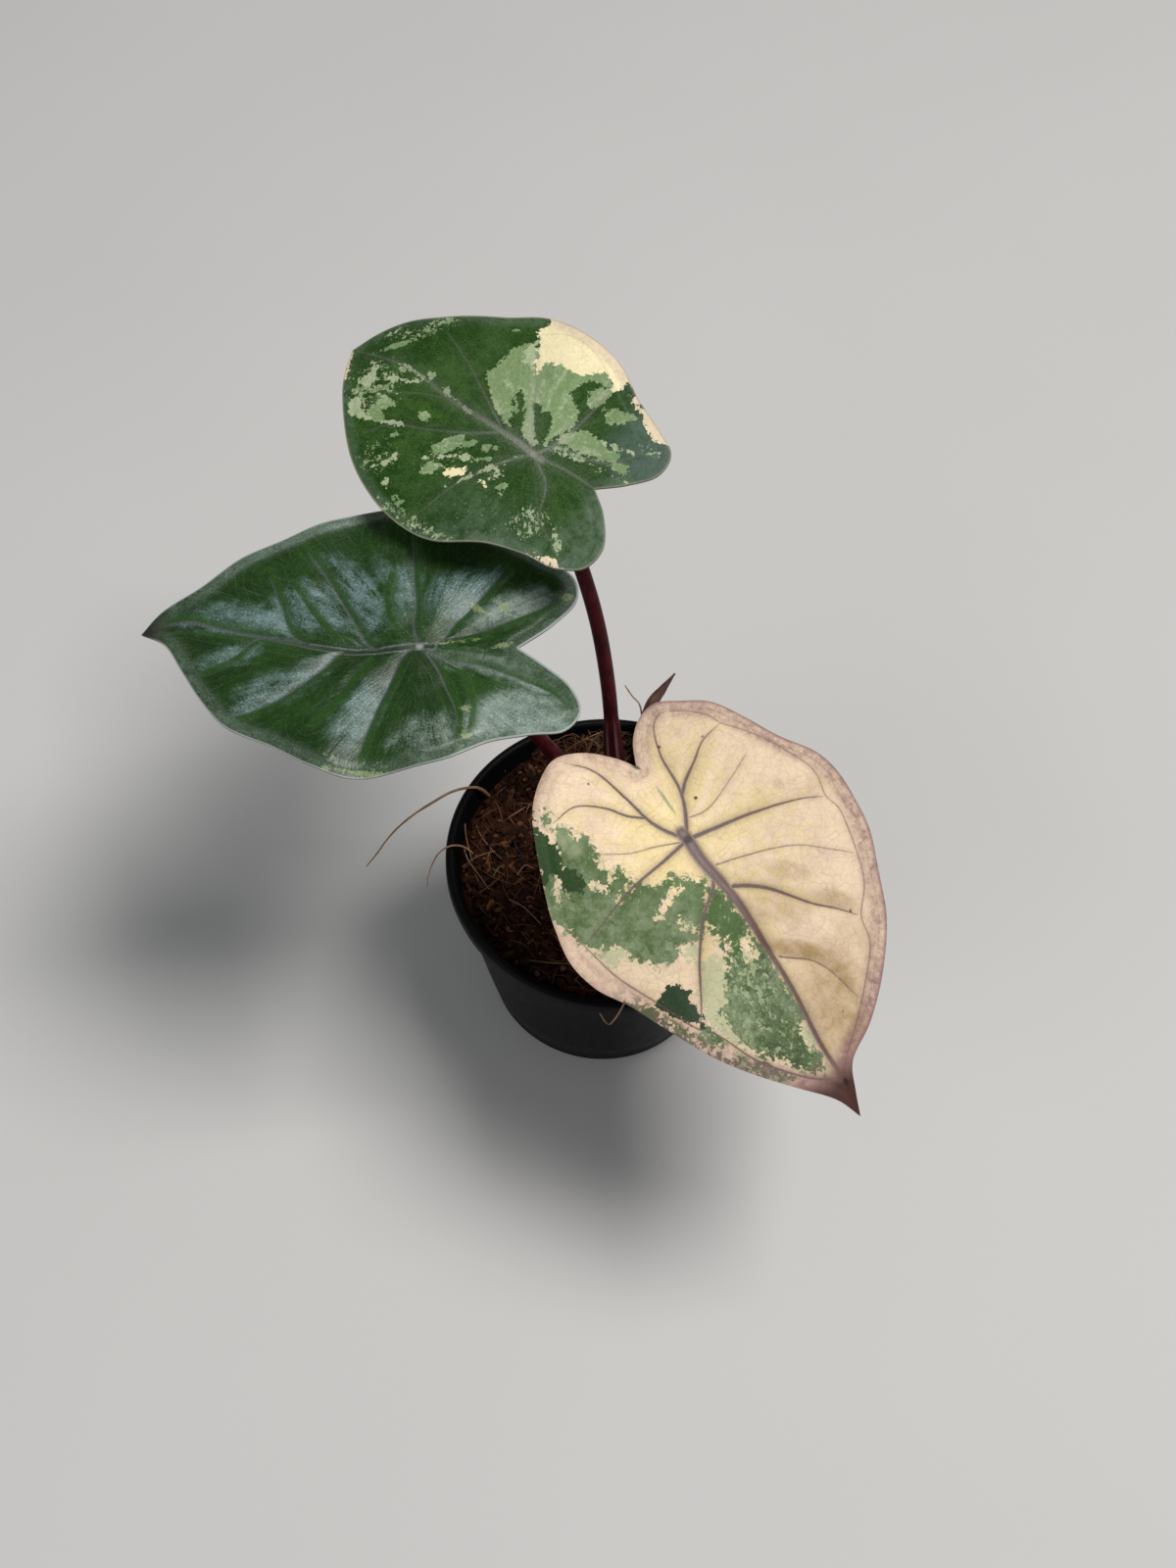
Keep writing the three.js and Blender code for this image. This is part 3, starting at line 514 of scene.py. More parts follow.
# Patches of another colour and the islands in them, in the frame of the leaf. The material makes their
# edges ragged. In square brackets is an outline, as a row of points. In round ones is an ellipse: its
# centre, its two half sizes and its turn in degrees.
FRONT_PATCHES = {
    "green": [
        [-14, -29, -16, -27, -18, -26.5, -17.5, -24.5, -13.5, -23.5, -13, -21.5, -10.5, -21.5, -7, -22,
         -4, -22.5, -1, -22, -2, -19, 0.5, -17.5, 5, -15, 6, -11.5, 5.5, -8.5, 7.5, -7, 10, -4.5, 11, -2,
         18, -6, 23, -11, 22, -17.5, 23.5, -19, 23, -23, 20.5, -26.5, 18, -28, 15.5, -27.5, 13, -31,
         12.5, -34.5, 8.5, -37, 3, -38, -0.5, -39, -8.5, -37.5, -14, -35],
        [12.5, -2, 14, 0, 23.5, 1, 34.5, 1.5, 51, 0.8, 54, -2, 58.5, -2, 61.5, -1.2, 66, -2.5, 62, -6.5,
         56.5, -11.5, 50.5, -15.5, 44, -16.5, 39.5, -17, 38.5, -13.5, 33, -11, 31, -8, 26.5, -7.5, 21.5, -7,
         16.5, -5.5],
        [51.5, -18, 56, -14, 62.5, -8.5, 62.5, -12.5, 57, -17.5, 53, -20],
        [41, -22.5, 43, -20, 46.5, -18.5, 47, -21, 45, -23.5],
        (-22, -27.4, 1.2, 0.9, 0),
    ],
    "dark": [
        [-25, -29.5, -20.5, -31, -19, -29.5, -15, -29, -12, -28, -9.5, -29.5, -7, -27.5, -3, -27.5,
         -1.5, -30.5, -4, -32.5, -7.5, -32.5, -9.5, -33.5, -7.5, -35.5, -8.5, -36.5, -16.5, -34, -21.5, -33],
        [30, -27.5, 28.5, -24.5, 29.5, -21, 32, -20, 33.5, -21.5, 36, -20.5, 39, -21, 41, -22, 38, -25,
         35, -27, 32, -28],
        [25, -35, 29, -33, 31, -28.5, 33, -30, 36, -28.5, 39.5, -26.5, 41.5, -27.5, 39, -31, 33.5, -34.5,
         28, -36],
    ],
    "dots": [
        (-24, 7, 0.5, 0.5, 0), (-8, 7.5, 0.5, 0.5, 0), (-21, 18, 0.4, 0.4, 0), (35.5, 25, 0.5, 0.5, 0),
        (55, 9.5, 0.4, 0.4, 0), (69.5, 1, 0.9, 0.8, 0), (-24.5, -13.5, 0.4, 0.4, 0),
    ],
    "pale": [
        [27, -14.5, 28, -10, 32, -8.5, 38, -10, 41, -14, 45, -14.5, 51, -14.5, 48, -18.5, 42, -20.5,
         34, -18.5],
        [13, -35.5, 12, -33, 15.5, -27.5, 18.5, -29, 17, -33],
        [22, -17, 23, -11.5, 26, -13.5, 25.5, -17],
        (18, -9.5, 2.6, 1.6, 60), (-3, -23, 3, 1.2, -20), (31.5, -4, 3, 1.5, 0), (-15, -25.5, 2.5, 1.6, 0),
        (3, -16.5, 3, 1.4, 30), (-17, -25.5, 2, 1.4, 10), (57, -1.5, 5, 2.2, -8),
    ],
}
FRONT_ISLANDS = {
    "green": [
        [8.5, -8.5, 10.5, -8, 11.5, -12, 14, -16, 13.5, -17.5, 11, -15, 9.5, -11.5],
        [16.5, -13, 17, -11, 19, -9.5, 20.5, -11.5, 20, -13.5, 18.5, -14],
        [-9.5, -31, -8.5, -30.5, -4, -33, -2.5, -35.5, -4, -35.5, -6.5, -33.5],
        [27.5, -2, 28, -0.5, 32, -1, 34, -3, 32, -4, 29.5, -3.5],
        (27.3, -5.8, 1.4, 0.9, 0), (23.2, -7.5, 2.2, 0.8, -10), (1.5, -13.5, 1.5, 0.6, 60),
        (3.5, -21.2, 1.6, 0.5, -75), (-1.5, -25.5, 1.2, 0.5, 30),
    ],
    "dark": [
        (33.5, -31.4, 2.4, 0.5, 35), (37.6, -28.6, 1.6, 0.4, 35),
    ],
}
BACK_PATCHES = {
    "cream": [
        [25.5, -38, 23, -30.5, 24.5, -28.5, 22, -27, 20, -24.5, 17.5, -20.5, 15.5, -18, 14.5, -22,
         11.5, -23.5, 5.5, -23.5, 3, -26.5, 0, -28, -4, -25.5, -5.5, -26, -5.5, -29, -8, -29, -9, -26,
         -13, -24.5, -18, -21.5, -21.5, -19.5, -24, -19.5, -29, -22, -16, -30, -3.5, -38, 11, -40],
        [60.5, 11.5, 66.5, 5, 71, 0, 68, -1.5, 63, 4.5, 60, 9],
        [16, 16.5, 14, 13.5, 12, 12, 10.5, 14, 13, 16.5, 15, 17],
        (-22.7, 20.2, 3.6, 0.9, 12), (6.2, 13.8, 0.4, 0.4, 0), (4.8, 13.2, 0.9, 0.5, 16),
    ],
    "pale": [
        [22.5, -21.5, 23, -24.5, 22, -27, 19, -23, 17.5, -20.5, 15.5, -18, 18, -19, 20.5, -19.5],
        [14, -23, 13.5, -25, 9.5, -26, 7.5, -25, 8.5, -24, 11, -23],
        [56.5, 7, 55, 5, 55.5, 3, 54.5, 1, 51.5, 4, 51, 7, 54, 8.5],
        [52, 14.5, 53, 10.5, 50.5, 11.5, 46, 14.5, 44.5, 14, 41, 15, 47.5, 16.5, 50.5, 16],
        [33, 25.5, 31, 24.5, 30.5, 21.5, 30.5, 19.5, 29, 18.5, 28.5, 21, 29.5, 23],
        (56.5, 1.1, 1.6, 0.6, 47), (47.2, 2.3, 1.6, 1.2, 25), (42, 0.1, 1.5, 0.7, 32),
        (44.3, -2.3, 2.3, 0.3, -4), (24, -0.8, 2.1, 0.3, -3), (36, 12.2, 2.5, 0.3, 24),
        (13.8, 10.4, 1.2, 0.9, 53), (17.3, 12, 2.2, 0.4, 38), (7.4, 10.8, 4.5, 0.4, 58),
        (3.5, 9.5, 1.7, 0.9, 65), (26.2, 26.4, 1, 0.6, -41), (58.7, -9.5, 2.5, 0.7, 58),
        (-22.5, 16.6, 3.5, 0.6, -40), (-13.4, -5.3, 5.2, 0.25, 8), (-16, -12.8, 2.6, 0.5, 10),
    ],
    "light": [
        [23, -25.5, 26, -20, 25.5, -14.5, 26.5, -12, 25, -10, 21.5, -8, 16.5, -4, 12, -3, 7, -3, 2.5, -2,
         -1, -3.5, -1.5, -6, -3, -13.5, -1.5, -15.5, 3.5, -18.5, 4, -21, 2.5, -23.5, -4, -25.5, -1, -29.5,
         6, -27.5, 16.5, -24.5],
        [-2, -6.5, -3, -9.5, -5.5, -12, -9, -12.5, -13, -11.5, -19, -11.5, -19, -9.5, -13.5, -7.5,
         -8.5, -6.5],
        [-6, -19.5, -9, -21, -15.5, -22.5, -14, -19.5, -12.5, -17.5, -9, -17.5],
        [0.5, -21.5, -0.5, -24.5, -4, -25.5, -5, -21.5, -4, -18.5, -2, -18.5],
        [23.5, 12.5, 22.5, 10.5, 21.5, 8, 18.5, 5, 17.5, 7, 14.5, 5, 14.5, 6.5, 16.5, 8.5, 18.5, 12,
         20.5, 13.5, 20, 15.5, 17, 15.5, 18.5, 19.5, 20.5, 19.5, 20.5, 15.5, 21.5, 13.5],
        [50.5, 14, 49, 13, 46, 14, 45, 11.5, 45.5, 9, 42.5, 7, 41, 8, 42.5, 11.5, 39.5, 13.5, 41, 15,
         44.5, 15.5],
        (-20.4, -8.7, 2.6, 1.3, 10), (-10.5, -5.2, 5.8, 0.3, 5), (-9.9, -5.6, 2.7, 0.25, 3),
        (46.9, -1, 0.7, 0.5, 0), (38.5, -3.7, 1.3, 1, -23), (31.7, -2.1, 1.5, 1.2, -16),
        (28.5, -1.6, 0.8, 0.3, 0), (48.9, 7.4, 2.5, 1, 45), (31.4, 7, 1.6, 1.2, 0),
        (33.1, 10.5, 0.8, 0.5, 23), (33.9, 14.8, 1.3, 1.1, 23), (10.6, 4.8, 2, 1, 40),
        (9.7, 8.3, 1.6, 0.4, 47), (0.2, 11.7, 1.3, 0.9, 57), (-0.5, 13.5, 0.7, 0.5, 14),
        (19.3, 29.3, 1.1, 0.8, 53), (21.3, 28.9, 1, 0.4, 51), (47.1, -18.3, 3.5, 0.7, 31),
        (54.7, -6.1, 4.2, 0.7, 46), (29.4, -25.6, 0.9, 0.4, 33), (50.2, -13.7, 1.6, 0.6, 15),
    ],
}
BACK_ISLANDS = {
    "cream": [
        (-8.5, -27.5, 2.6, 1.1, 20), (-13.5, -25.4, 2, 0.8, 20),
    ],
    "light": [
        [15.5, -11, 14, -12.5, 10, -8, 7, -4.5, 9, -2.5, 12, -4, 11.5, -7],
        [9.5, -11, 8, -12, 6.5, -10, 4.5, -11.5, 2.5, -10, 1, -7, -0.5, -3.5, 2.5, -3.5, 6, -7],
        [3.5, -18.5, 4, -21, 2.5, -23.5, -0.5, -25, -1, -24, 0.5, -22, 0, -20.5, -2.5, -18, -2, -16, 1, -19],
        (13.2, -7.5, 3.2, 0.5, 132),
    ],
}
LEFT_PATCHES = {
    "light": [
        (-33.6, -17.3, 1.7, 1.2, 20), (-12.8, -11.8, 2.7, 0.8, -35), (-18.6, -12.6, 2.6, 0.9, -35),
        (-19.8, -2.1, 2, 0.5, 20), (9, 35.2, 7.5, 0.7, 3), (-14.6, 23.4, 1.5, 0.9, -20),
        (-6.5, -1.9, 3, 0.25, 15), (-13.5, 16, 0.9, 0.6, 0),
    ],
    "silver_sheen": [
        [10, -20, 4.5, -21, 3, -16.5, 3, -10.5, 2.5, -4.5, 4, -3, 7, -5, 7, -15.5],
        [0.5, -13.5, -3, -19, -9, -21, -17, -22.5, -15, -18, -12, -13, -8.5, -8.5, -4.5, -4.5, -1.5, -3.5,
         0.5, -6.5, 1.5, -10.5],
        [59.5, -2.5, 55.5, -5.5, 48, -7, 40.5, -7, 34.5, -4.5, 32, -1.5, 45, -1],
        [51.5, 9.5, 49, 6.5, 44.5, 4, 39, 3, 41, 6, 45, 8.5],
        [40, 22.5, 40, 17.5, 36.5, 13.5, 30.5, 11, 25.5, 7.5, 21.5, 5.5, 22.5, 9.5, 26, 13, 30.5, 16.5,
         35.5, 19.5],
        [16.5, 26, 15.5, 22.5, 13, 18.5, 12.5, 15, 10, 11.5, 6.5, 10.5, 7, 16.5, 8.5, 21.5, 10.5, 27,
         13, 29.5],
        (14.5, -15.5, 3, 1, 80), (12, -6.5, 3, 1, 70),
    ],
    "haze_sheen": [
        [28, -22.5, 21.5, -21.5, 16.5, -17.5, 14, -13, 12, -8, 12, -4, 14, -2, 18.5, -8.5, 22.5, -14],
        [39, -5, 36, -12, 31, -15, 25, -15, 21, -9.5, 19, -4, 27, -2.5, 33.5, -1.5],
        [-11, -9.5, -17, -14.5, -25.5, -18, -31, -17, -28.5, -14, -22, -10.5, -14.5, -7.5],
        [-12.5, 19.5, -15.5, 15.5, -20.5, 11.5, -26.5, 10, -32.5, 12, -37.5, 15, -37.5, 19, -30.5, 21.5,
         -23.5, 21, -16.5, 23.5],
        [-2.5, 1.5, -9.5, 1.5, -17, 1.5, -25, 4.5, -32, 8.5, -29, 10, -23, 6.5, -16, 4, -8.5, 4],
        [3, 27, -1.5, 20.5, -8.5, 19, -11.5, 24.5, -6, 29.5],
    ],
}
PATCHES = {"front": FRONT_PATCHES, "back": BACK_PATCHES, "left": LEFT_PATCHES}
ISLANDS = {"front": FRONT_ISLANDS, "back": BACK_ISLANDS, "left": {}}

# Where small flecks gather: ellipses with a share of how many there are at the middle
FLECKS = {
    "front": [(38, -6, 14, 7, -8, 0.6), (52, -8, 12, 6, -8, 0.5), (10, -16, 18, 12, 0, 0.3),
              (58, -16, 14, 3, 32, 0.7), (2, -30, 14, 8, 0, 0.2)],
    "back": [(50, 7, 12, 12, 0, 0.62), (18, 13, 10, 7, 35, 0.45), (33, 22, 8, 7, 30, 0.5),
             (-12, 15, 7, 6, 60, 0.62), (12, 31, 22, 2.6, 4, 0.6), (-23, -17, 5, 3, 0, 0.5),
             (52, -12, 12, 4, 40, 0.5), (47, -18, 6, 3, 31, 0.5), (-6, 19, 22, 9, 20, 0.2)],
    "left": [(-14, 24, 14, 5, -25, 0.6), (-15, -11, 12, 4, -30, 0.4), (10, 33, 14, 3, 0, 0.7),
             (20, 20, 14, 8, 30, 0.2)],
}

BLADE_SPOKES = 440
BLADE_RINGS = 64
BLADE_THICKNESS = 0.5
WAVE_REACH = 38
WAVE_SIDE_SHIFT = 1.3
FOLD_SOFTNESS = 3
RIB_UNDER_MIDRIB = 1.5
RIB_UNDER_VEIN = 0.7
RIB_WIDTH = 1.5
VEIN_STEP = 1.2
VEIN_END = 0.06
FAR_OUTSIDE = -20.0


def leaf_matrix(leaf):
    """The turn and shift that take a blade's own frame to the part's, both in millimetres"""
    heading, dip, roll = (math.radians(leaf[key]) for key in ("heading", "dip", "roll"))
    along = Vector((math.cos(heading) * math.cos(dip), math.sin(heading) * math.cos(dip), -math.sin(dip)))
    level = Vector((-math.sin(heading), math.cos(heading), 0))
    across = level * math.cos(roll) + along.cross(level) * math.sin(roll)
    turn = Matrix((along, across, along.cross(across))).transposed().to_4x4()
    return Matrix.Translation(leaf["hub"]) @ turn


def pairs(row):
    """Points out of a row that lists x and y in turn"""
    return np.reshape(np.array(row, float), (-1, 2))


def to_part(leaf, points):
    matrix = np.array(leaf_matrix(leaf))
    return points @ matrix[:3, :3].T + matrix[:3, 3]


def blade_height(form, x, y):
    """Height of a blade's upper face above its frame's plane"""
    ahead, behind = np.maximum(x, 0), np.minimum(x, 0)
    beyond = np.maximum(x - form["tip_from"], 0)
    z = -form["droop"] * ahead**2 - form["lobe_droop"] * behind**2 - form["arch"] * y**2
    z += form["fold"] * (np.hypot(y, FOLD_SOFTNESS) - FOLD_SOFTNESS) - form["tip_droop"] * beyond**2
    turn = 2 * np.pi * x / form["wave_length"] + form["wave_phase"] + WAVE_SIDE_SHIFT * np.sign(y)
    return z + form["wave"] * (y / WAVE_REACH) ** 2 * np.sin(turn)


def blade_outline(leaf, count):
    """The outline from the notch round the tip and back, as count + 1 points"""
    up, down = (curve_through([leaf["notch"], *pairs(leaf[half]), leaf["tip"]], count // 2 + 1)
                for half in ("left", "right"))
    return np.vstack([up[:-1], down[::-1]])


def polyline_distance(x, y, line):
    """Distance of each point to a line, which side of it the point lies on, and the share along it"""
    best = np.full(len(x), np.inf)
    side = np.ones(len(x))
    share = np.zeros(len(x))
    count = len(line) - 1
    for i in range(count):
        (ax, ay), (bx, by) = line[i], line[i + 1]
        dx, dy = bx - ax, by - ay
        t = np.clip(((x - ax) * dx + (y - ay) * dy) / (dx * dx + dy * dy), 0, 1)
        distance = np.hypot(x - ax - t * dx, y - ay - t * dy)
        nearer = distance < best
        best = np.where(nearer, distance, best)
        side = np.where(nearer, np.sign(dx * (y - ay) - dy * (x - ax)), side)
        share = np.where(nearer, (i + t) / count, share)
    return best, side, share


def outline_depth(x, y, row):
    """How far each point lies inside a closed outline; less than 0 outside"""
    closed = pairs([*row, *row[:2]])
    distance = polyline_distance(x, y, closed)[0]
    inside = np.zeros(len(x), bool)
    for (ax, ay), (bx, by) in zip(closed[:-1], closed[1:]):
        crosses = (ay > y) != (by > y)
        reach = ax + (y - ay) * (bx - ax) / np.where(crosses, by - ay, 1)
        inside ^= crosses & (x < reach)
    return np.where(inside, distance, -distance)


def ellipse_depth(x, y, centre_x, centre_y, long_half, short_half, turn):
    angle = math.radians(turn)
    along = (x - centre_x) * math.cos(angle) + (y - centre_y) * math.sin(angle)
    across = (y - centre_y) * math.cos(angle) - (x - centre_x) * math.sin(angle)
    return (1 - np.hypot(along / long_half, across / short_half)) * short_half


def shape_depth(x, y, shape):
    """How far each point lies inside an ellipse or an outline of PATCHES or ISLANDS"""
    return ellipse_depth(x, y, *shape) if isinstance(shape, tuple) else outline_depth(x, y, shape)


def patch_depth(x, y, shapes, islands):
    """How far each point lies inside a set of patches, less their islands"""
    depth = np.full(len(x), FAR_OUTSIDE)
    for shape in shapes:
        depth = np.maximum(depth, shape_depth(x, y, shape))
    for island in islands:
        depth = np.minimum(depth, -shape_depth(x, y, island))
    return depth


def set_attribute(piece, name, values):
    attribute = piece.data.attributes.new(name, "FLOAT", "POINT")
    attribute.data.foreach_set("value", np.asarray(values, np.float32))


def set_uv(piece, name, corner_values):
    layer = piece.data.uv_layers.new(name=name)
    layer.uv.foreach_set("vector", np.asarray(corner_values, np.float32).ravel())


def vein_fields(leaf, x, y):
    """For each vein: signed distance, half width and depth at every point"""
    distances, halves, depths = [], [], []
    for row, start, end, depth in leaf["veins"].values():
        points = pairs(row)
        line = curve_through(points, max(8, int(strides(points).sum() / VEIN_STEP)))
        distance, side, share = polyline_distance(x, y, line)
        fade = np.clip((1 - share) / VEIN_END, 0, 1)
        distances.append(distance * side)
        halves.append((start + (end - start) * share**0.8) * fade)
        depths.append(depth * (1 - 0.75 * share**2) * np.exp(-distance / leaf["pillow_reach"]))
    return np.array(distances), np.array(halves), np.array(depths)


def nearest_vein(piece, distances, halves):
    """Signed distance and half width of the vein that is nearest to each face, at the face's corners"""
    starts, totals = (read(piece.data.polygons, name, int) for name in ("loop_start", "loop_total"))
    corners = read(piece.data.loops, "vertex_index", int)
    clearance = np.abs(distances) - halves
    per_face = np.add.reduceat(clearance[:, corners], starts, axis=1) / totals
    choice = np.repeat(per_face.argmin(axis=0), totals)
    return corners, distances[choice, corners], halves[choice, corners]


UV_SPAN = 100
RING_CROWDING = 1.15
RIM_GROOVE = 0.2
RIM_GROOVE_PLACE = 2.7
RIM_GROOVE_WIDTH = 0.8
CALM_RIM = 5
CALM_HUB = 13
HUB_SHARE = 0.4
RUFFLE_SIZE = 17
RIB_LEAST_WIDTH = 0.3


def build_blade(side):
    """One leaf blade: a sheet with pillows between its veins, ribs underneath, and fields for its markings"""
    leaf = LEAVES[side]
    outline = blade_outline(leaf, BLADE_SPOKES)

    def lay(u, v):
        share = 1 - (1 - v) ** RING_CROWDING
        places = outline[grid_line(u, BLADE_SPOKES)] * share[:, None]
        return np.column_stack([places, np.zeros(len(u))])

    blade = laid_grid(f"leaf_{side}", BLADE_SPOKES, BLADE_RINGS, lay, outward=False)
    x, y = (read_points(blade) / MM)[:, :2].T
    distances, halves, depths = vein_fields(leaf, x, y)
    margin = polyline_distance(x, y, outline)[0]
    calm = 1 - np.exp(-margin / CALM_RIM)
    valley = depths.max(axis=0) * calm * np.clip(np.hypot(x, y) / CALM_HUB, HUB_SHARE, 1)
    ruffled = ripple(np.column_stack([x, y, 0 * x]), RUFFLE_SIZE, len(side)) * leaf["ruffle"]
    groove = RIM_GROOVE * bell(margin, RIM_GROOVE_PLACE, RIM_GROOVE_WIDTH)
    z = blade_height(leaf["form"], x, y) - valley + ruffled * calm - groove

    while blade.data.uv_layers:
        blade.data.uv_layers.remove(blade.data.uv_layers[0])
    corners, vein_distance, vein_half = nearest_vein(blade, distances, halves)
    set_uv(blade, "leaf", np.column_stack([x[corners], y[corners]]) / UV_SPAN)
    set_uv(blade, "vein", np.column_stack([vein_distance, vein_half]) / UV_SPAN)
    set_attribute(blade, "margin", margin)
    for name, shapes in PATCHES[side].items():
        set_attribute(blade, name, patch_depth(x, y, shapes, ISLANDS[side].get(name, [])))
    flecks = [share * np.clip(ellipse_depth(x, y, *oval) / oval[3] * 2, 0, 1)
              for *oval, share in FLECKS[side]]
    set_attribute(blade, "flecks", np.max(flecks, axis=0))

    write_points(blade, to_part(leaf, np.column_stack([x, y, z])) * MM)
    up = np.array(leaf_matrix(leaf))[:3, 2]
    if np.dot(blade.data.polygons[0].normal, up) < 0:
        blade.data.flip_normals()
    top_points = read_points(blade)
    apply_modifier(blade, "SOLIDIFY", thickness=BLADE_THICKNESS * MM, offset=-1)
    points = read_points(blade)
    count = len(top_points)
    widths = np.maximum(RIB_WIDTH * halves, RIB_LEAST_WIDTH)
    ribs = RIB_UNDER_VEIN * bell(distances, 0, widths) * np.minimum(halves, 1)
    ribs[0] *= RIB_UNDER_MIDRIB / RIB_UNDER_VEIN
    points[count:] -= up * (ribs.max(axis=0) * MM)[:, None]
    write_points(blade, points)
    set_attribute(blade, "under", np.arange(2 * count) >= count)
    return blade


class LeafFinish(Finish):
    """What the blades' materials share: fields in the leaf's own frame, veins, ragged patches and grain"""

    def __init__(self, name, **constants):
        super().__init__(name, **constants)
        self.flat = self.stretched(self.uv("leaf"), UV_SPAN)
        self.x, self.y = self.parts(self.flat)[:2]
        self.reach = (self.x * self.x + self.y * self.y) ** 0.5
        self.angle = self.x.maths("ARCTAN2", self.y, self.x)
        self.rays = self.vector(self.angle * 30.0, self.reach * 0.38)
        signed, half = self.parts(self.stretched(self.uv("vein"), UV_SPAN))[:2]
        self.signed = signed
        self.vein_distance = abs(signed)
        self.vein_half = half
        self.margin = self.attribute("margin")
        self.under = self.attribute("under").step(0.4, 0.6)
        self.coarse = self.noise(self.rays, 5.0, detail=4.0, roughness=0.6)
        self.fine = self.noise(self.flat, 1.1, roughness=0.6)
        self.broad = self.noise(self.flat, 24.0, detail=2.0)
        self.blotch = self.noise(self.flat, 3.2, detail=4.0, roughness=0.65)
        self.grit = self.noise(self.flat, 0.5, roughness=0.7)
        warp = self.vector(self.fine * 0.5, self.blotch * 0.9)
        warped = self.moved(self.flat, warp)
        self.net = self.cell_edges(warped, 2.6)
        self.fine_net = self.cell_edges(warped, 1.0)
        self.grains = self.cell_tone(warped, 0.75) - 0.5
        self.islets = self.cell_tone(warped, 1.9) - 0.5

    def vein(self, softness=0.12):
        """1 on a vein, 0 off it"""
        inner, outer = self.vein_half * 0.6, self.vein_half + softness
        return 1.0 - ((self.vein_distance + self.fine * 0.16 - inner) / (outer - inner)).clamped()

    def halo(self, reach):
        """The soft shade that spreads from the veins"""
        beyond = (self.vein_distance - self.vein_half).most(0.0)
        fall = self.maths("EXPONENT", beyond / -reach)
        return (self.vein_half * 2.2).least(1.0) * fall

    def depth(self, name, wide, fine, cells):
        """How far inside a set of patches, in millimetres, with a border as ragged as the three widths say"""
        ragged = self.coarse * wide + (self.fine + self.grit) * fine
        return self.attribute(name) + ragged + self.islets * cells + self.grains * cells * 0.8

    def patch(self, name, wide=1.4, fine=0.7, cells=1.5, soft=0.1):
        """1 inside a set of patches, 0 outside"""
        return self.depth(name, wide, fine, cells).step(-soft, soft)

    def fleck(self, size, amount=1.0, shift=0.0):
        """Small flecks, thick where the leaf's fleck field is high"""
        grain = self.noise(self.moved(self.rays, (shift, shift, 0.0)), size, detail=4.0, roughness=0.7)
        field = self.attribute("flecks") * amount
        return (grain - 0.62 + field * 0.9 + self.grains * 0.25).step(-0.02, 0.05) * field.step(0.0, 0.1)

    def oval(self, centre_x, centre_y, long_half, short_half, turn):
        """A soft oval, 1 at its centre and 0 at its rim"""
        angle = math.radians(turn)
        dx, dy = self.x - float(centre_x), self.y - float(centre_y)
        along = (dx * math.cos(angle) + dy * math.sin(angle)) / float(long_half)
        across = (dy * math.cos(angle) - dx * math.sin(angle)) / float(short_half)
        return (along * along + across * across).step(1.0, 0.0)

    def nerves(self, spacing, half=0.16):
        """Fine nerves that run beside the veins, broken up by noise"""
        drift = self.vein_distance + self.blotch * 0.8 + self.broad * 1.5
        line = self.maths("PINGPONG", drift, spacing / 2).step(half, 0.02)
        return line * (self.blotch * 1.2 + 0.55).clamped()

    def rim_line(self, place, half):
        """A thin line that follows the margin"""
        return abs(self.margin + self.fine * 0.3 - place).step(half, 0.0)


def tone(red, green, blue):
    return (red, green, blue, 1)


# Front leaf: cream and pink, with green patches on its right half
CREAM = tone(0.85, 0.66, 0.46)
CREAM_YELLOW = tone(0.80, 0.64, 0.31)
BLUSH = tone(0.60, 0.41, 0.325)
DUSKY_PINK = tone(0.35, 0.215, 0.195)
RIM_PURPLE = tone(0.24, 0.115, 0.13)
PAINTED_SHADE_TAN = tone(0.40, 0.255, 0.10)
VEIN_MAUVE = tone(0.15, 0.10, 0.115)
VEIN_BROWN = tone(0.125, 0.064, 0.064)
VEIN_HAIR = tone(0.36, 0.30, 0.31)
TIP_RED = tone(0.27, 0.15, 0.13)
TIP_BROWN = tone(0.060, 0.022, 0.018)
SAGE = tone(0.085, 0.148, 0.043)
SAGE_LIGHT = tone(0.265, 0.325, 0.19)
SAGE_DEEP = tone(0.045, 0.108, 0.016)
SAGE_FRESH = tone(0.085, 0.185, 0.035)
SAGE_SHADE = tone(0.070, 0.098, 0.035)
FOREST = tone(0.011, 0.038, 0.012)
PALE_GREEN = tone(0.46, 0.51, 0.29)
NOTCH_GREEN = tone(0.33, 0.40, 0.22)
DOT_BROWN = tone(0.035, 0.016, 0.013)


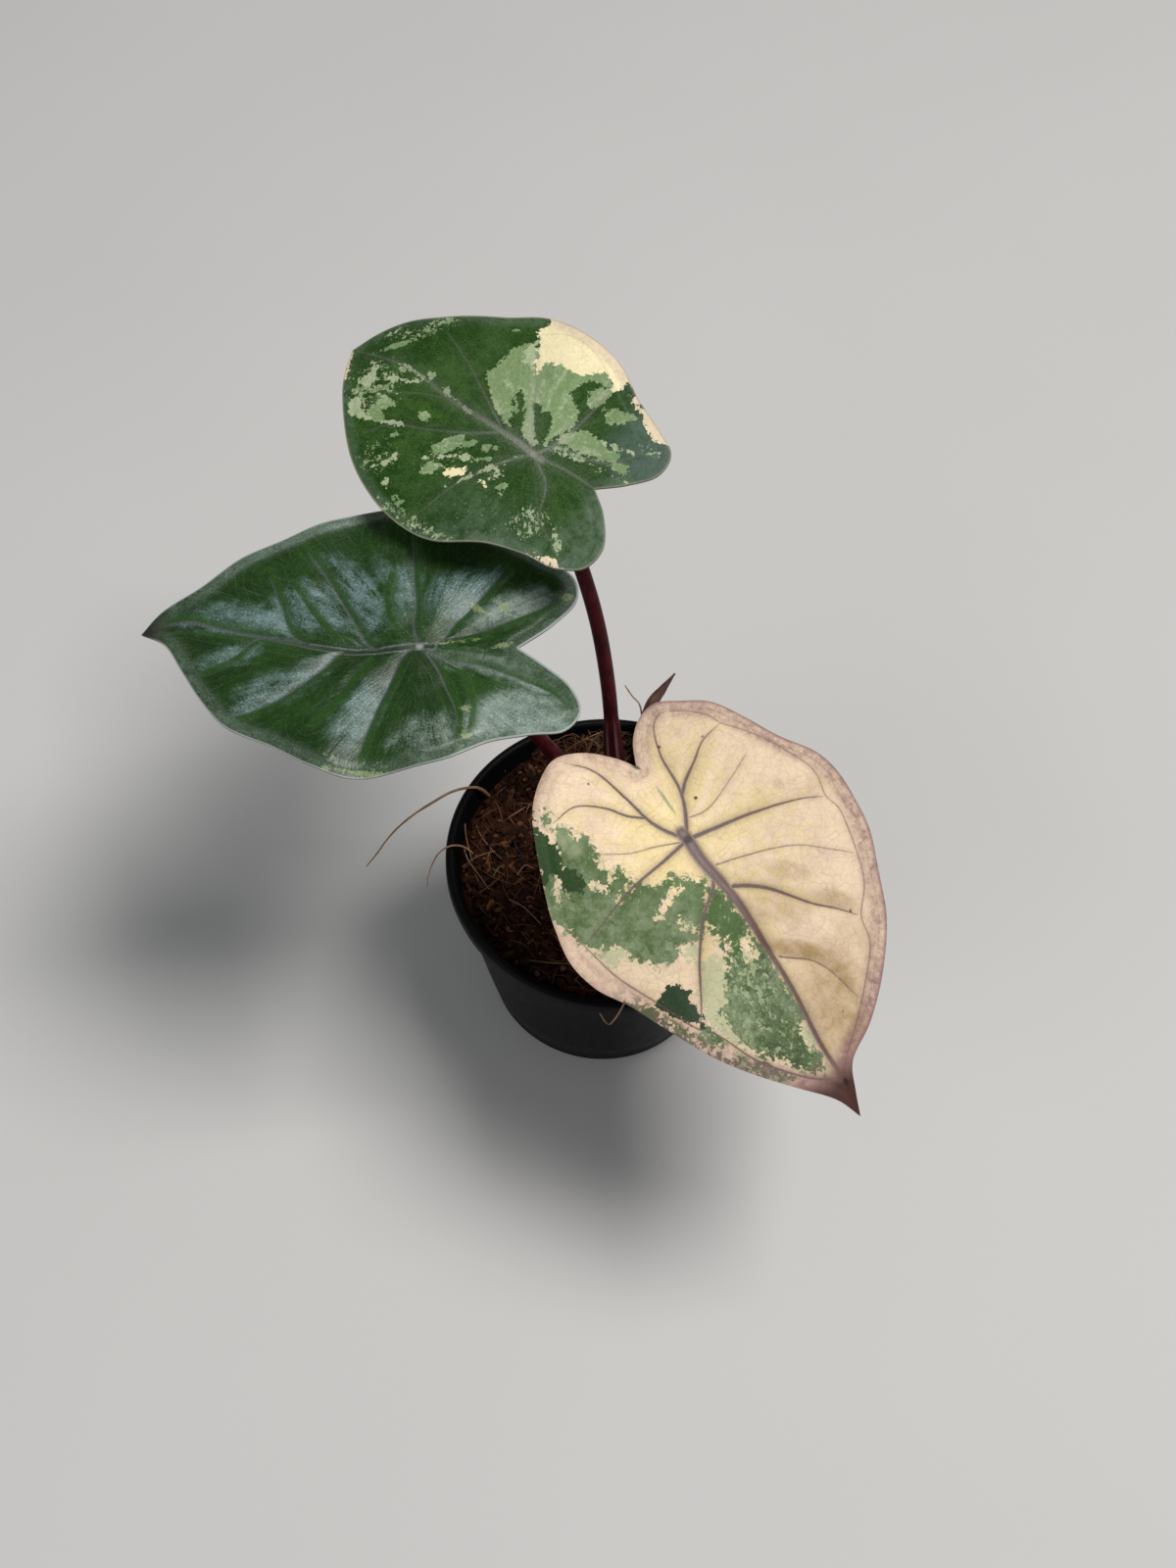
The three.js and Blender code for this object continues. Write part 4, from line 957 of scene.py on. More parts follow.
def front_leaf_finish():
    f = LeafFinish("front_leaf", IOR=1.36, Specular_IOR_Level=0.28)
    f.vein_half = f.vein_half * (1.0 - f.vein_half.step(0.5, 0.9) * f.x.step(4.0, 42.0) * 0.35)
    # Cream ground, yellower near the hub and the veins, under a pink veil
    wash = f.blotch * 0.8 + f.coarse * 0.5 + f.broad * 0.6
    yellow = f.halo(4.0) * 0.6 + f.reach.step(40.0, 4.0) * 0.5 + wash * 1.3 - 0.05
    f.colour = f.mix(yellow.step(0.0, 0.9), CREAM, CREAM_YELLOW)
    pushed = f.moved(f.flat, f.vector(f.blotch * 3.0, f.coarse * 3.0))
    veiled = f.noise(pushed, 6.0, detail=5.0, roughness=0.7)
    blush = (veiled * 1.6 + f.fine * 0.5 + f.broad * 0.6 + 0.22).clamped()
    f.lay(blush * (0.62 - yellow.clamped() * 0.25), BLUSH)
    bright = f.oval(-14, -14, 36, 22, 10) * 0.18 + f.reach.step(24.0, 4.0) * 0.14
    f.tint(bright + f.fine * 0.08 + f.grains * 0.05 + 1.02)
    f.lay(f.nerves(2.7) * 0.4, BLUSH)

    # Pink along the margin, and painted shade in tan in the hollows beside the veins
    stipple = (f.fine * 0.9 + f.blotch * 1.0 + f.islets * 0.5 + 0.3).clamped()
    outside = (f.margin + f.blotch * 0.8).step(5.6, 3.2)
    mauve = f.mix(f.y.step(-16.0, 26.0), BLUSH, DUSKY_PINK)
    right_lobe = f.x.step(4.0, -8.0) * f.y.step(-3.0, -12.0)
    outside = outside * (1.0 - right_lobe * f.margin.step(1.0, 3.0) * 0.75)
    f.lay(outside * (stipple * 0.75 + 0.28), mauve)
    # Painted shade: tan ovals on the slopes beside the veins that face away from the light
    shade = f.oval(19, 17, 8, 3.4, 50) * 0.5 + f.oval(31, 23, 7, 3.2, 45) * 0.7
    shade = shade + f.oval(37, 8.6, 9, 2.8, 50) + f.oval(53, 9, 19, 10, -14) * 0.9
    shade = shade + f.oval(26, 9, 11, 5, 48) * 0.5 + f.oval(44, 20, 12, 8, -30) * 0.4
    f.lay((shade * (f.blotch * 0.8 + 0.85)).clamped() * 0.85, PAINTED_SHADE_TAN)

    # Green patches, with their pale and dark parts
    green_depth = f.depth("green", 1.3, 0.7, 1.7)
    green = green_depth.step(-0.18, 0.18)
    dark = f.patch("dark", wide=0.8, fine=0.7, cells=1.3)
    pale = f.patch("pale", wide=1.4, fine=0.9, cells=2.0)
    sage = (f.fine * 0.6 + f.blotch * 0.75 + f.islets * 0.4 + f.coarse * 0.5 + 0.4).clamped()
    sage = f.mix(sage, SAGE, SAGE_LIGHT)
    deep = f.oval(26, -4, 18, 8, -8) + f.oval(57, -8, 14, 9, -20) * 0.8 + f.oval(-2, -19, 16, 6, 25) * 0.6
    streaks = f.coarse * 0.9 + f.blotch * 0.8 + f.islets * 0.7
    sage = f.mix((deep.clamped() * (streaks + 0.8)).clamped(), sage, SAGE_DEEP)
    sage = f.mix(f.x.step(44.0, 62.0) * (f.blotch + 0.7).clamped() * 0.7, sage, SAGE_SHADE)
    fringe = green_depth.step(-1.7, -0.3) * (f.blotch * 1.6 + f.grit * 0.8 + 0.4).clamped()
    paleness = (pale * 0.85).most(fringe * 0.75)
    f.lay(paleness, f.mix((f.fine + 0.5).clamped() * 0.3, PALE_GREEN, CREAM))
    sage = f.mix(f.islets.step(0.2, 0.34) * 0.16, sage, SAGE_LIGHT)
    fresh = f.oval(9, -9, 9, 5, 30) + f.oval(22, -4, 11, 4, -8) + f.oval(-4, -20, 12, 4, 25) * 0.7
    sage = f.mix((fresh * (f.blotch * 1.2 + 0.5)).clamped() * 0.6, sage, SAGE_FRESH)
    milky = f.oval(42, -8, 15, 9, -10) * (f.blotch * 1.2 + f.coarse * 0.8 + f.grit * 0.5 + 0.25)
    sage = f.mix(milky.clamped() * 0.5, sage, SAGE_LIGHT)
    corner = f.oval(-14, -25.5, 5.5, 3, 15) * (f.blotch * 1.2 + f.grit * 0.5 + 0.9)
    sage = f.mix(corner.clamped() * 0.45, sage, PALE_GREEN)
    flicker = f.grit * 0.85 + f.grains * 0.5 + f.coarse * 0.6 + f.blotch * 0.6
    tipward = f.x.step(20.0, 34.0)
    sage = f.shade(sage, flicker * (tipward * 0.75 + 0.15) + 0.94 - tipward * 0.06)
    f.lay(green, sage)
    f.lay(f.fleck(1.2) * green * 0.6, PALE_GREEN)
    near = f.attribute("green").step(-2.6, -0.4)
    stray = (f.grit * 0.8 + f.grains * 0.7 + f.blotch * 0.6).step(0.32, 0.42) * near
    f.lay(stray * 0.8, SAGE)
    dots = (f.grains * 0.7 + f.grit * 0.9 + f.blotch * 0.5 + tipward * 0.1).step(0.4, 0.52) * green
    f.lay(dots * 0.65, PALE_GREEN)
    lifted = f.fine.step(-0.1, 0.5) * 0.35 + f.x.step(8.0, -8.0) * 0.3
    f.lay(dark, f.mix(lifted, FOREST, SAGE_DEEP))
    rim_place = f.margin.step(3.4, 2.4) * f.x.step(20.0, 30.0) * f.x.step(64.0, 57.0) * f.y.step(-4.0, -8.0)
    f.lay(rim_place * (stipple * 0.5 + 0.25), DUSKY_PINK)
    rim_green = (f.grit * 0.5 + f.blotch * 1.9 + f.grains * 0.5).step(-0.12, 0.06) * rim_place
    f.lay(rim_green * 0.85, SAGE_SHADE)
    any_green = (green + dark).clamped()
    f.lay(f.oval(-11.3, 0.8, 5.4, 0.6, 2) * 0.9, NOTCH_GREEN)
    f.lay(f.oval(-22.4, -0.9, 1.8, 0.7, 30), SAGE_DEEP)
    # A small spot of painted shade in tan
    f.lay(f.oval(-0.5, 27, 2.2, 1.8, 0) * 0.3, PAINTED_SHADE_TAN)

    # Veins and the fine net between them
    vein_tone = f.mix(f.reach.step(6.0, 30.0), VEIN_MAUVE, VEIN_BROWN)
    f.lay(f.halo(0.9) * (0.55 - any_green * 0.35), vein_tone)
    ridge = f.vein_half.step(0.8, 1.4) * f.vein_distance.step(0.9, 0.1) * (f.grit * 0.9 + 0.6)
    vein_tone = f.mix(ridge.clamped() * (0.6 - f.x.step(4.0, 30.0) * 0.35), vein_tone, VEIN_HAIR)
    thin = f.vein_half.step(0.05, 0.3)
    f.lay(f.vein() * (0.45 + thin * 0.45 - any_green * 0.25), vein_tone)
    net = f.net.step(0.07, 0.01) * 0.12 + f.fine_net.step(0.10, 0.02) * 0.08
    f.lay(net * (1.0 - any_green * 0.4), VEIN_BROWN)
    f.lay(f.reach.step(1.6, 0.5) * 0.8, tone(0.035, 0.04, 0.03))

    # Rim, tip and dots
    right_edge = f.y.step(-8.0, 14.0)
    f.lay(f.rim_line(2.1, 0.25) * right_edge * 0.35, RIM_PURPLE)
    rim = (f.margin + f.fine * 0.35).step(1.1, 0.1) * (1.0 - any_green * 0.8)
    f.lay(rim * (0.25 + right_edge * 0.45), RIM_PURPLE)
    lower = f.margin.step(5.0, 1.6) * f.x.step(44.0, 60.0) * (stipple * 0.6 + 0.3) * (1.0 - any_green * 0.6)
    f.lay(lower, RIM_PURPLE)
    f.lay((f.x + f.coarse * 2.0).step(61.0, 68.0) * 0.8, TIP_RED)
    f.lay((f.x + f.coarse * 3.0).step(64.0, 70.0) * 0.95, TIP_BROWN)
    f.lay(f.attribute("dots").step(-0.15, 0.15) * 0.9, DOT_BROWN)

    # Underside and relief
    under = f.mix(any_green * 0.75, tone(0.56, 0.43, 0.35), tone(0.20, 0.24, 0.17))
    under = f.mix(f.vein(0.3) * 0.75, under, tone(0.17, 0.09, 0.085))
    f.lay(f.under, under)
    height = f.fine * 0.4 + f.net.step(0.0, 0.2) * 0.4 + f.fine_net * 0.5 + f.blotch * 0.7
    height = height - f.nerves(2.7) * 0.5
    rough = 0.52 + f.fine * 0.06
    return f.done(rough, height, 0.3, 0.14)


# Left leaf: dark green with silvery patches on the pillows between its sunken veins, partly its own colour
# and partly painted sheen
LEFT_GREEN = tone(0.007, 0.031, 0.001)
LEFT_MID = tone(0.020, 0.068, 0.006)
SILVER_SHEEN = tone(0.18, 0.275, 0.27)
SILVER_GLINT = tone(0.40, 0.50, 0.50)
HAZE_AND_SHEEN = tone(0.26, 0.325, 0.28)
BLUE_HAZE_SHEEN = tone(0.225, 0.32, 0.35)
LEFT_VEIN = tone(0.098, 0.104, 0.108)
LEFT_VEIN_LIGHT = tone(0.22, 0.245, 0.24)
LEFT_FLECK = tone(0.29, 0.35, 0.17)
LEFT_RIM = tone(0.40, 0.42, 0.40)
LEFT_TIP = tone(0.022, 0.018, 0.013)


def left_leaf_finish():
    f = LeafFinish("left_leaf", IOR=1.46, Specular_IOR_Level=0.4)
    streaks = f.noise(f.vector(f.angle * 22.0, f.reach * 0.16), 2.2, detail=5.0, roughness=0.65)
    lines = f.noise(f.vector(f.angle * 60.0, f.reach * 0.12), 1.5, detail=2.0)
    grit = f.grit
    # Green ground, with hazy grey and silvery patches on the pillows: partly the leaf's own colour, partly
    # painted sheen
    base = streaks * 0.8 + f.broad * 0.9 + f.blotch * 0.5 + grit * 0.4 + 0.35
    f.colour = f.mix(base.clamped(), LEFT_GREEN, LEFT_MID)
    broken = streaks * 0.7 + lines * 0.35 + grit * 0.7 + f.blotch * 0.5
    lobes = f.x.step(-6.0, -16.0)
    # Painted sheen: a hazy grey-green veil over the lobes and pillows, in part the leaf's own grey
    haze_sheen = (f.attribute("haze_sheen") + f.blotch * 2.6 + streaks * 1.2 + 0.6).step(-2.6, 3.0)
    misty_sheen = f.mix(f.x.step(4.0, 12.0) * f.y.step(0.0, -4.0), HAZE_AND_SHEEN, BLUE_HAZE_SHEEN)
    f.lay(haze_sheen * (broken * 0.9 + lobes * 0.45 + 0.32).clamped(), misty_sheen)
    # Painted sheen: silvery patches where the pillows gleam, laid over the leaf's own silvery tone
    silver_sheen = (f.attribute("silver_sheen") + f.blotch * 2.2 + streaks * 1.2 + 1.2).step(-2.2, 2.8)
    sheen = silver_sheen * f.reach.step(5.0, 18.0) * (broken * 1.0 + 0.42 + f.broad * 0.3).clamped()
    f.lay(sheen, SILVER_SHEEN)
    # Painted glints: pale grains in the silvery and hazy patches
    painted_glints = (grit * 0.9 + f.grains * 0.6 + streaks * 0.4).step(0.36, 0.52) * silver_sheen.most(haze_sheen * 0.6)
    f.lay(painted_glints * 0.35, SILVER_GLINT)
    # Painted shade: deeper green on the bank on the hub side of each side vein, where the pillow slopes away
    # from the light
    behind = f.signed * (f.y.step(-1.0, 1.0) * 2.0 - 1.0)
    painted_shade_side = behind.step(-0.1, 0.3) * behind.step(3.4, 0.8) * f.vein_half.step(0.75, 0.6)
    f.lay(painted_shade_side * f.reach.step(3.0, 10.0) * (0.85 + streaks * 0.4).clamped(), LEFT_MID)
    # Pale band along the margin, fine lines and flecks
    band = (f.margin + f.blotch * 1.2 + f.coarse).step(5.0, 1.2)
    far_band = f.y.step(-10.0, -26.0) * (f.margin + f.fine * 0.4).step(3.3, 2.3) * 0.2
    f.lay((band * (0.2 + grit * 0.3 + f.blotch * 0.3) + far_band).clamped(), HAZE_AND_SHEEN)
    f.lay(f.nerves(2.1, 0.13) * 0.2, LEFT_VEIN_LIGHT)
    f.lay(lines.step(0.26, 0.42) * (grit + 0.6).clamped() * 0.16, LEFT_VEIN_LIGHT)
    light = f.patch("light", wide=0.4, fine=0.5, cells=0.6, soft=0.3)
    f.lay(light * (0.62 + grit * 0.5).clamped(), LEFT_FLECK)
    f.lay(f.fleck(1.2, 0.72) * 0.45, LEFT_FLECK)

    # Veins, with a painted highlight on the ridges beside the midrib's groove and painted shade down its
    # middle
    broad_vein = f.vein_half.step(0.6, 0.8)
    f.lay(f.halo(0.6) * 0.15, LEFT_VEIN)
    thin = f.vein_half.step(0.02, 0.3)
    f.lay(f.vein() * (0.5 + grit * 0.4) * (thin * 0.8 + 0.2), LEFT_VEIN)
    # Painted shade down the middle of the midrib's groove
    painted_channel_shade = f.vein_distance.step(0.7, 0.25) * broad_vein
    f.lay(painted_channel_shade * 0.75, LEFT_GREEN)
    # Painted highlights on the ridges either side of the midrib
    painted_bank_highlights = abs(f.vein_distance - f.vein_half * 0.95).step(0.3, 0.05) * broad_vein
    f.lay(painted_bank_highlights * (0.55 + grit * 0.5).clamped(), LEFT_VEIN_LIGHT)
    f.lay(f.reach.step(1.4, 0.4) * 0.7, LEFT_RIM)
    f.lay(f.fine_net.step(0.09, 0.02) * 0.10, LEFT_VEIN)
    f.lay(f.rim_line(2.9, 0.3) * 0.3, LEFT_VEIN)
    f.tint(grit * 0.6 + f.grains * 0.25 + lobes * f.y.step(2.0, 10.0) * 0.12 + 1.0)
    # Rim, tip, underside and relief
    edge = (f.margin + grit * 0.1 - lobes * 0.2).step(0.45, 0.1)
    f.lay(edge * (lobes * 0.2 + 0.7), LEFT_RIM)
    f.lay((f.x + f.coarse).step(61.0, 68.0) * 0.92, LEFT_TIP)
    under = f.mix(f.vein(0.3) * 0.7, tone(0.12, 0.17, 0.105), tone(0.10, 0.05, 0.045))
    f.lay(f.under, under)
    height = f.fine * 0.4 + streaks * 0.9 + lines * 0.7 + grit * 0.35 + f.fine_net * 0.5 - f.nerves(2.1) * 0.4
    rough = 0.32 + grit * 0.05 + f.under * 0.2
    return f.done(rough, height, 0.32, 0.18)


# Back leaf: green with cream and light green blocks, and flecks along its left side
BACK_GREEN = tone(0.011, 0.050, 0.002)
BACK_SOFT = tone(0.060, 0.126, 0.030)
BACK_VIVID = tone(0.045, 0.130, 0.006)
BACK_GREY_AND_SHEEN = tone(0.13, 0.185, 0.13)
BACK_CREAM = tone(0.97, 0.86, 0.53)
BACK_PINK = tone(0.78, 0.61, 0.47)
BACK_BLUE_SHEEN = tone(0.085, 0.135, 0.105)
BACK_LIGHT = tone(0.195, 0.295, 0.125)
BACK_PALE = tone(0.42, 0.51, 0.28)
BACK_WHITE = tone(0.56, 0.60, 0.42)
BACK_VEIN = tone(0.165, 0.18, 0.14)
BACK_VEIN_PINK = tone(0.40, 0.27, 0.19)
BACK_VEIN_PALE = tone(0.38, 0.38, 0.34)
BACK_SPECK = tone(0.30, 0.13, 0.06)
BACK_RIM = tone(0.34, 0.31, 0.22)
BACK_HUB = tone(0.30, 0.31, 0.25)


def back_leaf_finish():
    f = LeafFinish("back_leaf", IOR=1.36, Specular_IOR_Level=0.28)
    streaks = f.noise(f.rays, 4.0, detail=5.0, roughness=0.65)
    grit = f.grit
    # Green ground, more vivid in the middle, with painted grey sheen over the left side and the lobes and
    # painted blue-grey sheen on the right lobe
    base = (streaks * 0.9 + f.blotch * 0.6 + f.broad * 0.6 + grit * 0.4 + 0.3).clamped()
    f.colour = f.mix((base + grit * 0.35).clamped() * 0.85, BACK_GREEN, BACK_SOFT)
    vivid = f.oval(40, 6, 30, 24, 0) * (f.blotch * 1.4 + streaks * 0.8 + grit * 0.8 + 0.1)
    f.lay(vivid.clamped() * 0.7, BACK_VIVID)
    # Painted sheen: grey over the left side and the lobes
    painted_sheen_side = (f.y.step(8.0, 26.0) * f.x.step(18.0, -4.0) * 0.8 + f.x.step(-16.0, -24.0)).clamped()
    f.lay((painted_sheen_side * (0.42 + streaks * 0.7 + f.blotch * 0.7)).clamped(), BACK_GREY_AND_SHEEN)
    f.lay(f.margin.step(4.0, 0.8) * (0.3 + f.blotch * 0.5).clamped(), BACK_GREY_AND_SHEEN)
    f.lay(grit.step(0.36, 0.5) * (0.22 + painted_sheen_side * 0.25), BACK_PALE)
    f.lay(f.nerves(2.6, 0.13) * 0.14, BACK_GREY_AND_SHEEN)
    # Painted sheen: blue-grey on the right lobe
    right_lobe = f.x.step(-9.0, -17.0) * f.y.step(-5.0, -11.0)
    f.lay(right_lobe * (0.7 + f.blotch * 0.6).clamped(), BACK_BLUE_SHEEN)
    f.tint(grit * 0.45 + f.grains * 0.2 + 1.0)
    # Light green blocks, pale flecks and cream
    light = f.patch("light", wide=0.6, fine=0.6, cells=0.8)
    block = f.mix((f.fine * 0.7 + streaks * 1.0 + grit * 0.5 + 0.2).clamped() * 0.6, BACK_LIGHT, BACK_PALE)
    whitish = f.halo(1.4) * 0.5 + (streaks * 1.8 + f.blotch * 0.8 + f.grains * 0.6 - 0.2).clamped() * 0.7
    block = f.mix(whitish.clamped(), block, BACK_WHITE)
    block = f.mix(f.nerves(1.5, 0.12) * 0.35, block, BACK_WHITE)
    block = f.shade(block, grit * 0.35 + f.grains * 0.15 + f.broad * 0.3 + 1.0)
    f.lay(light * 0.95, block)
    pale = f.patch("pale", wide=0.7, fine=0.6, cells=1.0)
    f.lay(f.fleck(1.6) * 0.75, f.mix(f.grains + 0.5, BACK_LIGHT, BACK_PALE))
    specks = (grit + f.grains * 0.6 + f.attribute("flecks") * 0.5).step(0.54, 0.68)
    f.lay(specks * f.attribute("flecks").step(0.0, 0.2) * 0.75, BACK_WHITE)
    f.lay(pale * 0.85, f.mix((f.grains + 0.5) * 0.7, BACK_PALE, BACK_WHITE))
    cream = f.patch("cream", wide=0.7, fine=0.6, cells=1.0)
    rosy = (f.margin + f.blotch * 1.2 + f.fine * 0.5).step(3.4, 0.8)
    creamy = f.mix((rosy * 0.7 + f.blotch * 0.25).clamped(), BACK_CREAM, BACK_PINK)
    creamy = f.mix(f.nerves(1.9, 0.13) * 0.4, creamy, BACK_PINK)
    creamy = f.shade(creamy, f.fine * 0.18 + grit * 0.24 + f.blotch * 0.18 + 0.99)
    creamy = f.mix((grit * 0.8 + f.grains * 0.6 + f.fine * 0.4).step(0.62, 0.74) * 0.6, creamy, BACK_SPECK)
    f.lay(cream, creamy)
    # Veins, rim and hub
    vein_tone = f.mix(f.reach.step(26.0, 4.0) * 0.6, BACK_VEIN, BACK_VEIN_PALE)
    vein_tone = f.mix(cream * 0.9, vein_tone, BACK_VEIN_PINK)
    grainy = (grit * 1.1 + f.fine * 0.5 + 0.68).clamped()
    bold = f.vein_half.step(0.1, 0.6) * 0.5 + 0.5
    f.lay(f.halo(1.6) * (0.46 - cream * 0.38) * grainy, vein_tone)
    f.lay(f.vein(0.3) * (0.72 - cream * 0.15) * bold * grainy, vein_tone)
    f.lay(f.fine_net.step(0.09, 0.02) * 0.09, vein_tone)
    f.lay(f.margin.step(0.6, 0.1) * 0.55, BACK_RIM)
    f.lay(f.reach.step(1.3, 0.3) * 0.7, BACK_HUB)
    # Underside and relief
    under = f.mix(cream * 0.8, tone(0.13, 0.19, 0.105), tone(0.62, 0.52, 0.36))
    under = f.mix(f.vein(0.3) * 0.7, under, tone(0.12, 0.06, 0.05))
    f.lay(f.under, under)
    height = f.fine * 0.4 + streaks * 0.6 + grit * 0.4 + f.fine_net * 0.5 - f.nerves(2.6) * 0.4
    rough = 0.46 + grit * 0.07 + f.under * 0.1
    return f.done(rough, height, 0.28, 0.15)


def add_leaves():
    finishes = {"front": front_leaf_finish, "left": left_leaf_finish, "back": back_leaf_finish}
    for side, finish in finishes.items():
        finish_piece(build_blade(side), finish(), f"blade_{side}", f"blade_{side}", angle=70)


# Stalks: round, mottled maroon, with a furrowed sheath at the foot and a swelling under the blade
STALK_RADIUS = 2.0
STALK_FOOT_RADIUS = 3.3
SHEATH_LENGTH = 26
STALK_HEAD_RADIUS = 3.1
HEAD_LENGTH = 6
HUB_INSET = 0.45
BEND_DEPTH = 5
FURROW_WIDTH = 0.07
FURROW_DEPTH = 0.3
STALK_SIDES = 40
STALK_STEPS = 110
SHEATH_EDGE = 0.085
SHEATH_EDGE_WIDTH = 0.016
SHEATH_EDGE_END = 0.26
SHEATH_EDGE_FADE = 0.08


def stalk_finish():
    f = Finish("stalk", IOR=1.35, Specular_IOR_Level=0.16)
    place = f.place()
    long_place = f.stretched(place, 1.0, 1.0, 0.34)
    mottle = f.noise(long_place, 1.9, detail=4.0, roughness=0.65)
    blotch = f.noise(long_place, 5.0)
    f.colour = f.mix((mottle * 1.5 + 0.45).clamped(), tone(0.038, 0.004, 0.006), tone(0.090, 0.011, 0.013))
    f.lay((blotch * 1.6 - 0.05).clamped() * 0.8, tone(0.016, 0.003, 0.004))
    # Painted shade: the stalks darker low down, under the leaves
    height_up = f.parts(place)[2]
    f.lay(height_up.step(84.0, 62.0) * 0.7, tone(0.026, 0.006, 0.006))
    speckle = f.noise(place, 0.45, roughness=0.7)
    f.tint(speckle * 0.7 + 0.98)
    # The sheath's papery edges, paler: partly their own colour and partly a painted highlight
    edge = f.attribute("sheath_edge_highlight")
    f.lay(edge * 0.7, tone(0.30, 0.20, 0.19))
    grain = f.noise(f.stretched(place, 3.0, 3.0, 0.3), 1.0)
    return f.done(0.42 + mottle * 0.08, grain, 0.25, 0.1)


def build_stalk(side):
    leaf = LEAVES[side]
    hub = -leaf["veins"]["midrib"][3] - HUB_INSET
    ends = to_part(leaf, np.array([(0, 0, hub - BEND_DEPTH), (0, 0, hub)]))
    path = [*leaf["stalk"], *ends.tolist()]
    length = strides(path).sum()

    def radius_at(u, share):
        foot = np.maximum(0, 1 - share * length / SHEATH_LENGTH) ** 0.7
        head = np.maximum(0, 1 - (1 - share) * length / HEAD_LENGTH) ** 2
        furrow = bell(u, 0.5, FURROW_WIDTH) * np.minimum(foot, 0.8)
        radius = STALK_RADIUS + (STALK_FOOT_RADIUS - STALK_RADIUS) * foot
        return radius * (1 - FURROW_DEPTH * furrow) + (STALK_HEAD_RADIUS - STALK_RADIUS) * head

    return tube(f"petiole_{side}", path, radius_at, STALK_SIDES, STALK_STEPS)


def mark_sheath_edges(stalk):
    """Where the papery edges of the sheath run beside its furrow, from the tube's own map; the stalk's
    material paints them paler, partly as a painted highlight
    """
    around, along = read(stalk.data.uv_layers[0].uv, "vector", width=2).T
    edge = bell(np.abs(around - 0.5), SHEATH_EDGE, SHEATH_EDGE_WIDTH)
    edge *= np.clip((SHEATH_EDGE_END - along) / SHEATH_EDGE_FADE, 0, 1)
    values = np.zeros(len(stalk.data.vertices))
    values[read(stalk.data.loops, "vertex_index", int)] = edge
    set_attribute(stalk, "sheath_edge_highlight", values)


def add_stalks():
    material = stalk_finish()
    for side in LEAVES:
        stalk = build_stalk(side)
        mark_sheath_edges(stalk)
        finish_piece(stalk, material, "stalk", f"stalk_{side}", angle=60)


# Pot: satin black, with a rolled lip, a step at the foot and drainage holes
POT_HEIGHT = 63
RIM_RADIUS = 45
BASE_RADIUS = 31.7
WALL = 1.3
LIP_HEIGHT = 4.6
LIP_DEPTH = 2.2
LIP_THICKNESS = 2.6
FLOOR_UNDERSIDE = 2.6
FLOOR_TOP = 4.2
FOOT_STEP_HEIGHT = 5.2
FOOT_STEP_INSET = 0.6
FOOT_RING_WIDTH = 4.2
CENTRE_PAD_RADIUS = 6
DRAFT = 0.8
DRAIN_HOLES = 8
DRAIN_RADIUS = 3
DRAIN_CIRCLE = 18
DRAIN_SIDES = 32
WALL_RINGS = (14, 24, 34, 44, 52)
LIP_FOOT = POT_HEIGHT - LIP_HEIGHT
WALL_SLOPE = (RIM_RADIUS - LIP_DEPTH - BASE_RADIUS) / LIP_FOOT
POT_SEGMENTS = 168


def wall_radius(height):
    return BASE_RADIUS + WALL_SLOPE * height


def inner_radius(height):
    return wall_radius(height) - WALL


def arc(centre_radius, centre_height, radius, start, end, steps):
    """Points on an arc of a profile, from one angle to another in degrees"""
    angles = [math.radians(start + (end - start) * i / steps) for i in range(steps + 1)]
    return [(centre_radius + radius * math.cos(a), centre_height + radius * math.sin(a)) for a in angles]


def build_pot():
    ring_inside = BASE_RADIUS - FOOT_RING_WIDTH
    lip = LIP_THICKNESS / 2
    step_top = wall_radius(FOOT_STEP_HEIGHT)
    profile = [
        (CENTRE_PAD_RADIUS, 0),
        (CENTRE_PAD_RADIUS + DRAFT, FLOOR_UNDERSIDE),
        (ring_inside - DRAFT, FLOOR_UNDERSIDE),
        (ring_inside, 0.3),
        (ring_inside + 0.3, 0),
        *arc(BASE_RADIUS - DRAFT, DRAFT, DRAFT, -90, 0, 4),
        (step_top - FOOT_STEP_INSET, FOOT_STEP_HEIGHT - 0.2),
        (step_top - FOOT_STEP_INSET + 0.12, FOOT_STEP_HEIGHT),
        (step_top - 0.12, FOOT_STEP_HEIGHT + 0.35),
        (step_top, FOOT_STEP_HEIGHT + FOOT_STEP_INSET),
        *[(wall_radius(z), z) for z in WALL_RINGS],
        (wall_radius(LIP_FOOT) - 0.05, LIP_FOOT - 0.3),
        (wall_radius(LIP_FOOT) + 0.25, LIP_FOOT),
        (RIM_RADIUS - 0.5, LIP_FOOT + 0.15),
        (RIM_RADIUS - 0.12, LIP_FOOT + 0.5),
        (RIM_RADIUS, LIP_FOOT + 1),
        *arc(RIM_RADIUS - lip, POT_HEIGHT - lip, lip, 0, 180, 12),
        (inner_radius(LIP_FOOT) + 0.2, LIP_FOOT),
        (inner_radius(LIP_FOOT - 1), LIP_FOOT - 1),
        (inner_radius(30), 30),
        (inner_radius(FLOOR_TOP + 1), FLOOR_TOP + 1),
        (inner_radius(FLOOR_TOP) - 1, FLOOR_TOP),
    ]
    pot = turned("pot_shell", profile, POT_SEGMENTS)
    for i in range(DRAIN_HOLES):
        angle = 2 * math.pi * i / DRAIN_HOLES
        centre = Vector((math.cos(angle), math.sin(angle), 0)) * DRAIN_CIRCLE * MM
        bpy.ops.mesh.primitive_cylinder_add(vertices=DRAIN_SIDES, radius=DRAIN_RADIUS * MM,
                                            depth=4 * FLOOR_TOP * MM, location=centre)
        drill = bpy.context.object
        apply_modifier(pot, "BOOLEAN", object=drill, operation="DIFFERENCE", solver="EXACT")
        bpy.data.objects.remove(drill)
    return pot


